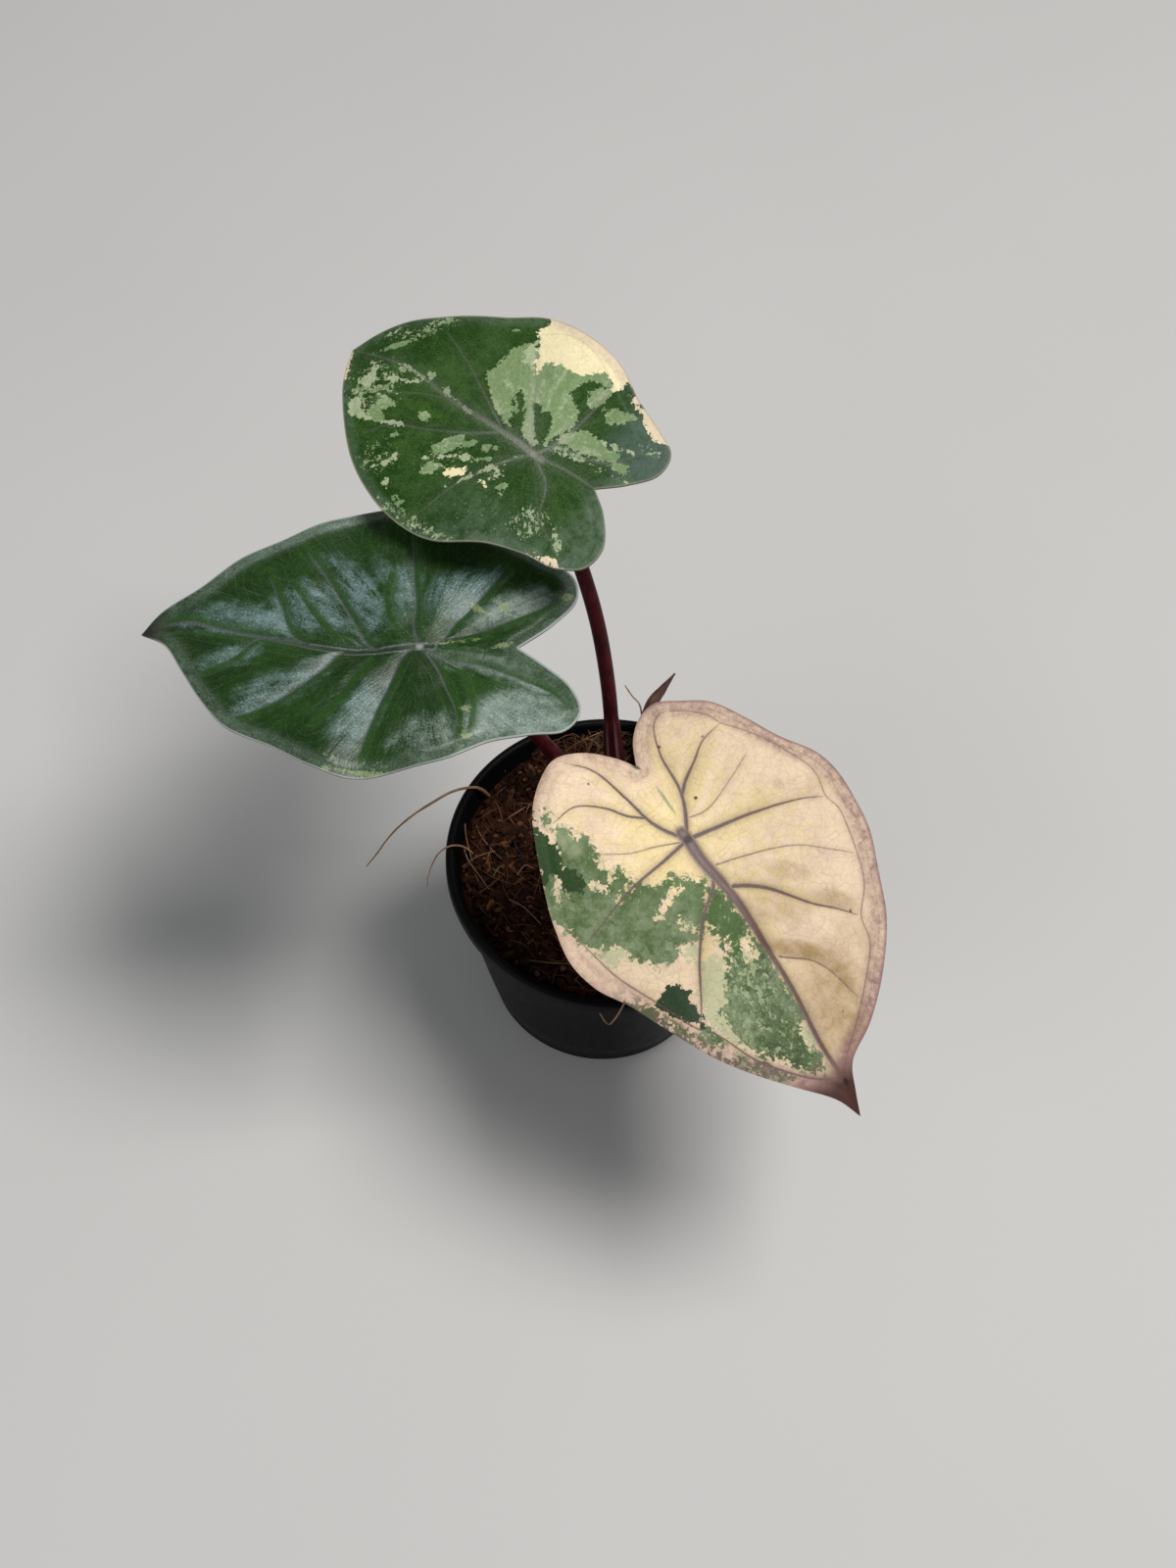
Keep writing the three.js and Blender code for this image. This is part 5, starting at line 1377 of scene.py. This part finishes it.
def pot_finish():
    f = Finish("pot_plastic", IOR=1.4, Specular_IOR_Level=0.08)
    place = f.place()
    z = f.parts(place)[2]
    wide = f.noise(place, 22.0)
    scuffs = f.noise(f.stretched(place, 1.0, 1.0, 0.25), 2.2, detail=5.0, roughness=0.7)
    dust = f.noise(place, 0.9, detail=4.0, roughness=0.75)
    top_dust = z.step(52.0, 62.5) * 0.5 + z.step(9.0, 2.0) * 0.5
    specks = (dust - 0.42 + top_dust * 0.12).step(0.0, 0.06)
    f.colour = f.mix((wide * 0.8 + 0.4).clamped(), tone(0.0030, 0.0030, 0.0035), tone(0.0055, 0.0055, 0.0064))
    f.lay(specks * 0.55, tone(0.075, 0.040, 0.026))
    f.lay((scuffs * 1.4 - 0.35).clamped() * 0.35, tone(0.012, 0.012, 0.0135))
    rough = 0.43 + scuffs * 0.10 + wide * 0.05 + specks * 0.3
    grain = f.noise(place, 0.35, detail=2.0)
    return f.done(rough, grain + scuffs * 0.4, 0.18, 0.06)


def add_pot():
    finish_piece(build_pot(), pot_finish(), "pot", "pot", angle=32)


# Soil: coir crumbs, chips and fibres over a rough bed
SOIL_LEVEL = 57.4
SOIL_MOUND = 1.8
SOIL_MOUND_FALL = 4
SOIL_EDGE_GAP = 0.35
REAR_RISE = 1.8
HUSK_CENTRE = (-8, 37)
CROWN_CENTRE = (-1.5, 22.5)
CROWN_RADIUS = 10
CROWN_TOP = 63
SOIL_SPOKES = 150
SOIL_ROWS = 64
SOIL_TOP_ROWS = 60
SOIL_BOTTOM = FLOOR_TOP + 0.5
SOIL_SIDE_TOP = SOIL_LEVEL - 4
SOIL_EDGE_SAG = 1.2
REAR_SPREAD = (18, 8)
REAR_PLACE = 42
# Two layers of lumps: their size, their seed and their height
SOIL_LUMPS = [(7.0, 3, 1.6), (1.9, 5, 0.9)]
LAST_SPOKE = 0.9999


def soil_height(x, y):
    away = np.hypot(x - CROWN_CENTRE[0], y - CROWN_CENTRE[1]) / RIM_RADIUS
    rear = REAR_RISE * bell(x, HUSK_CENTRE[0], REAR_SPREAD[0]) * bell(y, REAR_PLACE, REAR_SPREAD[1])
    return SOIL_LEVEL + SOIL_MOUND * np.exp(-SOIL_MOUND_FALL * away**2) + rear


def drawn_in(x, y, wall):
    """Places moved towards the pot's middle where they lie beyond a radius"""
    pull = np.minimum(1, wall / np.maximum(np.hypot(x, y), TINY))
    return x * pull, y * pull


def build_soil_bed():
    edge = inner_radius(SOIL_LEVEL) - SOIL_EDGE_GAP

    def lay(u, v):
        row = grid_line(v, SOIL_ROWS)
        share = np.minimum(row / SOIL_TOP_ROWS, 1)
        angle = 2 * np.pi * np.where(u > LAST_SPOKE, 0, u)
        bottom = row > SOIL_TOP_ROWS + 1
        radius = np.where(bottom, inner_radius(SOIL_BOTTOM) - SOIL_EDGE_GAP, edge * share)
        radius = np.where(row == SOIL_ROWS, 0, radius)
        x, y = radius * np.cos(angle), radius * np.sin(angle)
        points = np.column_stack([x, y, 0 * x])
        lumps = sum(ripple(points, size, seed) * height for size, seed, height in SOIL_LUMPS)
        z = soil_height(x, y) + lumps * np.clip((1 - share) * 8, 0.25, 1) - SOIL_EDGE_SAG * share**14
        z = np.where(row == SOIL_TOP_ROWS + 1, SOIL_SIDE_TOP, z)
        return np.column_stack([x, y, np.where(bottom, SOIL_BOTTOM, z)])

    return laid_grid("soil_bed", SOIL_SPOKES, SOIL_ROWS, lay)


def crumb_shape():
    """Points and faces of one round crumb, from an icosphere primitive"""
    bpy.ops.mesh.primitive_ico_sphere_add(subdivisions=1, radius=1)
    ball = bpy.context.object
    points = read_points(ball)
    faces = np.array([face.vertices[:] for face in ball.data.polygons])
    bpy.data.objects.remove(ball)
    return points, faces


def random_turns(random, count, tilt):
    """Rotation matrices: any way round, and leaning by up to tilt radians"""
    turn = random.uniform(0, 2 * np.pi, count)
    lean = random.uniform(-tilt, tilt, (2, count))
    return np.array([np.array((Matrix.Rotation(a, 3, "Z") @ Matrix.Rotation(b, 3, "X")
                               @ Matrix.Rotation(c, 3, "Y"))) for a, b, c in zip(turn, *lean)])


def from_copies(name, points, faces):
    """One mesh out of copies, given as an array of copies by points by 3"""
    count, size = points.shape[:2]
    all_faces = (faces[None] + (np.arange(count) * size)[:, None, None]).reshape(-1, faces.shape[1])
    mesh = bpy.data.meshes.new(name)
    mesh.from_pydata((points.reshape(-1, 3) * MM).tolist(), [], all_faces.tolist())
    mesh.update()
    piece = bpy.data.objects.new(name, mesh)
    bpy.context.scene.collection.objects.link(piece)
    return piece


def scatter(random, count, reach):
    """Places spread evenly over the soil, with none inside the crown"""
    places = []
    while len(places) < count:
        x, y = random.uniform(-reach, reach, 2)
        clear_of_crown = math.hypot(x - CROWN_CENTRE[0], y - CROWN_CENTRE[1]) > CROWN_RADIUS - 1
        if math.hypot(x, y) < reach and clear_of_crown:
            places.append((x, y))
    return np.array(places)


CRUMB_INSET = 1.6
CRUMB_ROUGHNESS = 0.24
CRUMB_DEPTHS = (-0.4, 1.0)
CRUMB_KINDS = {
    "soil_crumbs": {"count": 3000, "size": (0.4, 1.2), "slim": (0.5, 0.9), "flat": (0.5, 1.0), "lean": 0.9},
    "soil_chips": {"count": 900, "size": (1.0, 2.6), "slim": (0.25, 0.6), "flat": (0.18, 0.4), "lean": 0.6},
}


def build_crumbs(name, kind, random):
    shape, faces = crumb_shape()
    count = kind["count"]
    places = scatter(random, count, inner_radius(SOIL_LEVEL) - CRUMB_INSET)
    size = random.uniform(*kind["size"], count)
    scale = np.column_stack([size, size * random.uniform(*kind["slim"], count),
                             size * random.uniform(*kind["flat"], count)])
    rough = 1 + random.uniform(-CRUMB_ROUGHNESS, CRUMB_ROUGHNESS, (count, len(shape), 1))
    local = shape[None] * rough * scale[:, None, :]
    local = np.einsum("nij,nkj->nki", random_turns(random, count, kind["lean"]), local)
    height = soil_height(*places.T) + random.uniform(*CRUMB_DEPTHS, count)
    points = local + np.column_stack([places, height])[:, None, :]
    wall = inner_radius(points[..., 2]) - SOIL_EDGE_GAP
    points[..., 0], points[..., 1] = drawn_in(points[..., 0], points[..., 1], wall)
    piece = from_copies(name, points, faces)
    set_attribute(piece, "tone", np.repeat(random.uniform(0, 1, count), len(shape)))
    return piece


def soil_finish(name, has_tone):
    f = Finish(name, IOR=1.35, Specular_IOR_Level=0.2)
    place = f.place()
    grain = f.noise(place, 1.3, detail=5.0, roughness=0.7)
    threads = f.noise(f.stretched(place, 1.0, 4.0, 2.0), 1.6, detail=4.0, roughness=0.65)
    patch = f.noise(place, 12.0, detail=2.0)
    share = grain * 0.9 + threads * 0.5 + patch * 0.5 + 0.32
    if has_tone:
        share = share * 0.5 + f.attribute("tone") * 0.75 - 0.12
    f.colour = f.mix(share.clamped(), tone(0.0070, 0.0023, 0.0012), tone(0.066, 0.021, 0.008))
    if has_tone:
        f.lay(f.attribute("tone").step(0.84, 0.97) * 0.5, tone(0.27, 0.115, 0.048))
    height = grain + threads * 0.7
    return f.done(0.82 + grain * 0.1, height, 0.6, 0.3)


FIBRE_COUNT = 640
HUSK_COUNT = 90
HUSK_SPREAD = (10, 2.2)
HUSK_LIFT = 3
FIBRE_SIDES = 4
FIBRE_STEPS = 9
FIBRE_INSET = 3
FIBRE_WALL_GAP = 1.2
FIBRE_LIFT = 0.75
FIBRE_END_DROP = 0.7
FIBRE_TAPER = 0.7
LONG_FIBRES = 0.1
# Half lengths: most fibres are between the first two, and the long ones between the last two
FIBRE_HALF_LENGTHS = (1.5, 6, 11)
FIBRE_BOW = 0.35
FIBRE_HUMPS = (0.1, 0.9)
FIBRE_RADII = (0.07, 0.2)


def build_fibres(random):
    """Fine curved threads lying over the soil, each a thin four-sided strand"""
    places = scatter(random, FIBRE_COUNT - HUSK_COUNT, inner_radius(SOIL_LEVEL) - FIBRE_INSET)
    places = np.vstack([places, random.normal(HUSK_CENTRE, HUSK_SPREAD, (HUSK_COUNT, 2))])
    in_husk = np.arange(FIBRE_COUNT) >= FIBRE_COUNT - HUSK_COUNT
    lifts = np.where(in_husk, random.uniform(0, HUSK_LIFT, FIBRE_COUNT), 0)
    share = np.linspace(-1, 1, FIBRE_STEPS)
    short, middle, long = FIBRE_HALF_LENGTHS
    strands = []
    for (x, y), lift in zip(places, lifts):
        is_long = random.uniform() >= 1 - LONG_FIBRES
        length = random.uniform(middle, long) if is_long else random.uniform(short, middle)
        turn = random.uniform(0, 2 * np.pi)
        bow = random.uniform(-FIBRE_BOW, FIBRE_BOW) * length
        hump = random.uniform(*FIBRE_HUMPS)
        radius = random.uniform(*FIBRE_RADII)
        along, across = share * length, bow * (1 - share**2)
        px = x + along * math.cos(turn) - across * math.sin(turn)
        py = y + along * math.sin(turn) + across * math.cos(turn)
        px, py = drawn_in(px, py, inner_radius(SOIL_LEVEL) - FIBRE_WALL_GAP)
        pz = (soil_height(px, py) + FIBRE_LIFT + lift + hump * (1 - share**2)
              - FIBRE_END_DROP * share**4)
        path = np.column_stack([px, py, pz])
        first, second = path_frames(path)
        thin = radius * (1 - FIBRE_TAPER * np.abs(share))
        rings = [path + thin[:, None] * (first * math.cos(a) + second * math.sin(a))
                 for a in 2 * np.pi * np.arange(FIBRE_SIDES) / FIBRE_SIDES]
        strands.append(np.stack(rings, axis=1).reshape(-1, 3))
    last = (FIBRE_STEPS - 1) * FIBRE_SIDES
    faces = [(low + j, low + (j + 1) % FIBRE_SIDES, low + FIBRE_SIDES + (j + 1) % FIBRE_SIDES,
              low + FIBRE_SIDES + j) for low in range(0, last, FIBRE_SIDES) for j in range(FIBRE_SIDES)]
    faces += [(3, 2, 1, 0), (last, last + 1, last + 2, last + 3)]
    piece = from_copies("coir_fibres", np.array(strands), np.array(faces))
    set_attribute(piece, "tone", np.repeat(random.uniform(0, 1, FIBRE_COUNT), FIBRE_STEPS * FIBRE_SIDES))
    return piece


def fibre_finish():
    f = Finish("coir_fibre", IOR=1.4)
    place = f.place()
    share = f.attribute("tone")
    grain = f.noise(place, 0.8)
    brightness = (share * 1.2 + grain * 0.4 - 0.1).clamped()
    f.colour = f.mix(brightness, tone(0.028, 0.010, 0.005), tone(0.145, 0.060, 0.025))
    f.lay(share.step(0.88, 0.95), tone(0.28, 0.140, 0.062))
    return f.done(0.7 + grain * 0.1, grain, 0.4, 0.1)


SOIL_SEED = 20


def add_soil():
    finish_piece(build_soil_bed(), soil_finish("soil_bed", False), "soil", "soil", angle=50)
    random = np.random.default_rng(SOIL_SEED)
    loose = soil_finish("soil_loose", True)
    for name, kind in CRUMB_KINDS.items():
        finish_piece(build_crumbs(name, kind, random), loose, "soil", angle=25)
    finish_piece(build_fibres(random), fibre_finish(), "soil", angle=60)


# Crown: the stem base, ringed by old scale leaves
CROWN_SIDES = 72
CROWN_ROWS = 24
CROWN_SIDE_ROWS = 22
CROWN_SIDE_DROP = 16
CROWN_DROP = 18
CROWN_RING_DEPTH = 0.22
SCALE_GRID = (22, 12)
SCALE_THICKNESS = 0.3
SCALE_FOOT = SOIL_LEVEL - 1.5
SCALE_SPREAD = 0.62
SCALE_NARROWING = 0.34
# Each scale's turn in degrees, its distance from the crown's middle, its height and its curl
SCALES = [(20, 9.4, 7.5, 1.0), (95, 9.8, 8.5, 1.3), (160, 9.2, 6.5, 0.9), (225, 9.6, 8, 1.2),
          (300, 9.3, 7, 1.1)]


def around_crown(radius, angle, height):
    x, y = CROWN_CENTRE
    return np.column_stack([x + radius * np.cos(angle), y + radius * np.sin(angle), height])


def build_crown():
    def lay(u, v):
        angle = 2 * np.pi * np.where(u > LAST_SPOKE, 0, u)
        rows = v * CROWN_ROWS
        share = rows / CROWN_SIDE_ROWS
        side_height = CROWN_TOP - CROWN_SIDE_DROP * share**1.35
        height = np.where(rows < CROWN_SIDE_ROWS, side_height, CROWN_TOP - CROWN_DROP)
        rings = CROWN_RING_DEPTH * np.sin(rows * 2.1)
        bulge = CROWN_RADIUS * np.clip(np.sin(np.pi * np.clip(share, 0, 1) * 0.62), 0, 1) ** 0.7
        radius = np.where((rows < 0.5) | (rows > CROWN_ROWS - 0.5), 0, bulge * 0.94 + rings)
        lobes = 1 + 0.05 * np.cos(3 * angle + 0.6) + 0.03 * np.cos(7 * angle)
        return around_crown(radius * lobes, angle, height)

    return laid_grid("stem_base", CROWN_SIDES, CROWN_ROWS, lay)


def build_scale(index, turn, radius, height, curl):
    """One papery scale that hugs the crown and ends in a short ragged point"""

    def lay(u, v):
        across = u * 2 - 1
        angle = math.radians(turn) + across * (SCALE_SPREAD - SCALE_NARROWING * v**1.6)
        top = height * (1 - 0.45 * np.abs(across) ** 1.7) * (1 + 0.08 * np.sin(23 * u + turn))
        out = radius + curl * v**2 - 0.4 * (1 - v)
        return around_crown(out, angle, SCALE_FOOT + top * v)

    return thin_sheet(f"stem_scale_{index}", *SCALE_GRID, lay, SCALE_THICKNESS)


def crown_finish(name, pale):
    f = Finish(name, IOR=1.4)
    place = f.place()
    bands = f.noise(f.stretched(place, 1.0, 1.0, 5.0), 4.0, detail=4.0, roughness=0.6)
    fibres = f.noise(f.stretched(place, 5.0, 5.0, 0.5), 2.0, detail=4.0, roughness=0.6)
    dark = tone(0.028, 0.011, 0.009)
    light = tone(0.16, 0.082, 0.045) if pale else tone(0.078, 0.030, 0.024)
    f.colour = f.mix((bands * 0.9 + fibres * 0.8 + 0.42).clamped(), dark, light)
    return f.done(0.72 + fibres * 0.1, fibres + bands * 0.6, 0.5, 0.25)


def add_crown():
    finish_piece(build_crown(), crown_finish("stem_base", False), "crown", "crown", angle=50)
    papery = crown_finish("stem_scale", True)
    for index, scale in enumerate(SCALES):
        finish_piece(build_scale(index, *scale), papery, "crown", angle=50)


# Dry sheath: a papery strip behind the crown, curled up at its tip
SHEATH_PATH = [(7.2, 26.5, 58), (6.9, 31.5, 65.2), (6.4, 37.5, 70.8), (7, 43.2, 73.6), (9.8, 48.2, 74.6),
               (12.7, 52.4, 75.2)]
SHEATH_HALF_WIDTH = 2.9
SHEATH_CURL = 1.5
SHEATH_THICKNESS = 0.28
SHEATH_COLUMNS = 20
SHEATH_ROWS = 46
SHEATH_TIP_RISE = 1.6
SHEATH_TIP_FROM = 0.82
SHEATH_WRINKLE = 0.12


def build_dry_sheath():
    path = curve_through(SHEATH_PATH, SHEATH_ROWS + 1)
    along = np.gradient(path, axis=0)
    across = unit(np.column_stack([along[:, 1], -along[:, 0], 0 * along[:, 0]]))
    up = unit(np.cross(across, along))

    def lay(u, v):
        row = grid_line(v, SHEATH_ROWS)
        side = u * 2 - 1
        half = SHEATH_HALF_WIDTH * (1 - 0.93 * v**2.2) * (1 + 0.06 * np.sin(17 * v))
        curl = SHEATH_CURL * np.sin(np.pi * np.clip(v * 1.1, 0, 1)) * (1 - side**2)
        tip = SHEATH_TIP_RISE * np.maximum(0, v - SHEATH_TIP_FROM) / (1 - SHEATH_TIP_FROM)
        wrinkle = SHEATH_WRINKLE * np.sin(9 * side + 6 * v) * np.sin(np.pi * v)
        return (path[row] + across[row] * (side * half)[:, None]
                + up[row] * (curl + wrinkle + tip)[:, None])

    return thin_sheet("papery_sheath", SHEATH_COLUMNS, SHEATH_ROWS, lay, SHEATH_THICKNESS)


def dry_finish():
    f = Finish("dry_sheath", IOR=1.4)
    place = f.place()
    lines = f.noise(f.stretched(place, 6.0, 0.9, 0.9), 2.2, detail=4.0, roughness=0.6)
    stains = f.noise(place, 4.0)
    f.colour = f.mix((lines * 1.1 + 0.45).clamped(), tone(0.035, 0.014, 0.010), tone(0.105, 0.050, 0.030))
    f.lay((stains * 1.3).clamped() * 0.6, tone(0.20, 0.115, 0.060))
    return f.done(0.68 + lines * 0.1, lines, 0.5, 0.15)


# Roots: each leaves the soil, crosses the rim and hangs free, with a thinning wavy tip. A root is its radius
# at the foot and the places that it runs through.
ROOTS = {
    "root_long": (0.48, [(-34.5, 18.6, 55), (-36.1, 17.8, 59.5), (-37.4, 17.2, 62.2), (-39.2, 16.6, 64),
                         (-42.6, 15.6, 64.3), (-46, 13.6, 64.6), (-50, 10.3, 64.4), (-54.8, 6.4, 63.4),
                         (-59, 1.9, 62.3), (-61.6, -1.2, 60.4), (-63.4, -3, 57.6), (-66.2, -6.3, 55)]),
    "root_short": (0.34, [(-37, -0.6, 55), (-38.6, -1, 59.6), (-41.2, -1.8, 63.2), (-43.9, -2.8, 64.1),
                          (-46.4, -4.9, 63.8), (-48, -8, 62.2), (-48.8, -10.2, 59.6), (-48.9, -11.8, 57)]),
    "root_front": (0.35, [(9, -36.6, 55), (8.4, -38.4, 59.6), (7.4, -41.2, 63.2), (6.4, -43.9, 64.1),
                          (5.3, -46.2, 62.9), (4.2, -47.1, 60), (3, -47.3, 57.4), (2, -47.2, 58.3),
                          (1.1, -47, 60.4), (0.2, -46.9, 62.6)]),
    "root_rear": (0.4, [(5.6, 36.4, 55), (5.5, 38.2, 59.6), (5.2, 41, 63.4), (4.8, 43.9, 65.4),
                         (3.6, 46.6, 68.4), (1.6, 48.4, 69), (0.2, 50.8, 68.4), (-0.8, 53.4, 67)]),
}
# Fine roots that lie on the soil: places over it, from above
FINE_ROOTS = [
    [(-41.0, 8.0), (-40.4, 4.4), (-38.9, -0.4), (-37.6, -3.6)],
    [(-40.2, -0.2), (-38.6, -4), (-35, -8.4), (-32.2, -11.7)],
    [(-31.6, -8), (-30.9, -6.4), (-30, -4.8), (-28.6, -3.7)],
    [(-25.1, -6.4), (-23.2, -3.7), (-20.8, -4.1)],
    [(-19.4, -31.6), (-14.2, -32.2), (-9.6, -32), (-3.9, -31.9)],
    [(-26.4, -14.1), (-22.2, -16.6), (-17.4, -20.5)],
    [(-11.6, 38), (-8.6, 37.4), (-6.3, 35.2), (-9.2, 31.9)],
]
ROOT_SIDES = 12
ROOT_STEPS = 90
ROOT_TAPER = 0.62
ROOT_KNOTS = 0.07
FINE_ROOT_SIDES = 8
FINE_ROOT_STEPS = 40
FINE_ROOT_RADIUS = 0.24
FINE_ROOT_TAPER = 0.12
FINE_ROOT_LIFT = 1.9
FINE_ROOT_END_DROP = 0.9


def root_finish(name, brightness):
    f = Finish(name, IOR=1.4)
    place = f.place()
    drift = f.noise(place, 6.0)
    rings = f.noise(place, 0.9, detail=4.0, roughness=0.7)
    f.colour = f.mix((drift * 1.2 + 0.5).clamped(), tone(0.19, 0.095, 0.042), tone(0.40, 0.24, 0.125))
    f.lay((rings * 1.3 - 0.1).clamped() * 0.6, tone(0.08, 0.04, 0.022))
    f.tint(drift * 0.3 + brightness)
    return f.done(0.6 + rings * 0.1, rings, 0.5, 0.12)


def add_roots():
    material = root_finish("root", 1.0)
    for name, (radius, points) in ROOTS.items():
        def radius_at(u, share, full=radius):
            knots = ROOT_KNOTS * np.sin(34 * share + 3 * np.sin(9 * share))
            return full * (1 - ROOT_TAPER * share) * (1 + knots)

        root = tube(f"air_{name}", points, radius_at, ROOT_SIDES, ROOT_STEPS)
        finish_piece(root, material, "root", name, angle=60)

    def fine_radius_at(u, share):
        return FINE_ROOT_RADIUS - FINE_ROOT_TAPER * share

    material = root_finish("fine_root", 0.6)
    for index, places in enumerate(FINE_ROOTS):
        points = [[x, y, soil_height(x, y) + FINE_ROOT_LIFT] for x, y in places]
        points[0][2] -= FINE_ROOT_END_DROP
        points[-1][2] -= FINE_ROOT_END_DROP
        root = tube(f"fine_root_{index}", points, fine_radius_at, FINE_ROOT_SIDES, FINE_ROOT_STEPS)
        finish_piece(root, material, "root", angle=60)


FLOOR_SIDE = 9  # metres


def add_floor():
    bpy.ops.mesh.primitive_plane_add(size=FLOOR_SIDE, location=(0, 0, 0))
    floor = bpy.context.object
    floor.name = "floor"
    f = Finish("pale_floor")
    drift = f.noise(f.place(), 180.0, detail=2.0)
    f.colour = f.mix((drift * 0.5 + 0.5).clamped(), tone(0.60, 0.59, 0.575), tone(0.64, 0.63, 0.615))
    floor.data.materials.append(f.done(0.7 + drift * 0.02))


set_camera()
set_lights()
add_leaves()
add_stalks()
add_pot()
add_soil()
add_crown()
finish_piece(build_dry_sheath(), dry_finish(), "dry_sheath", "dry_sheath", angle=60)
add_roots()
add_floor()
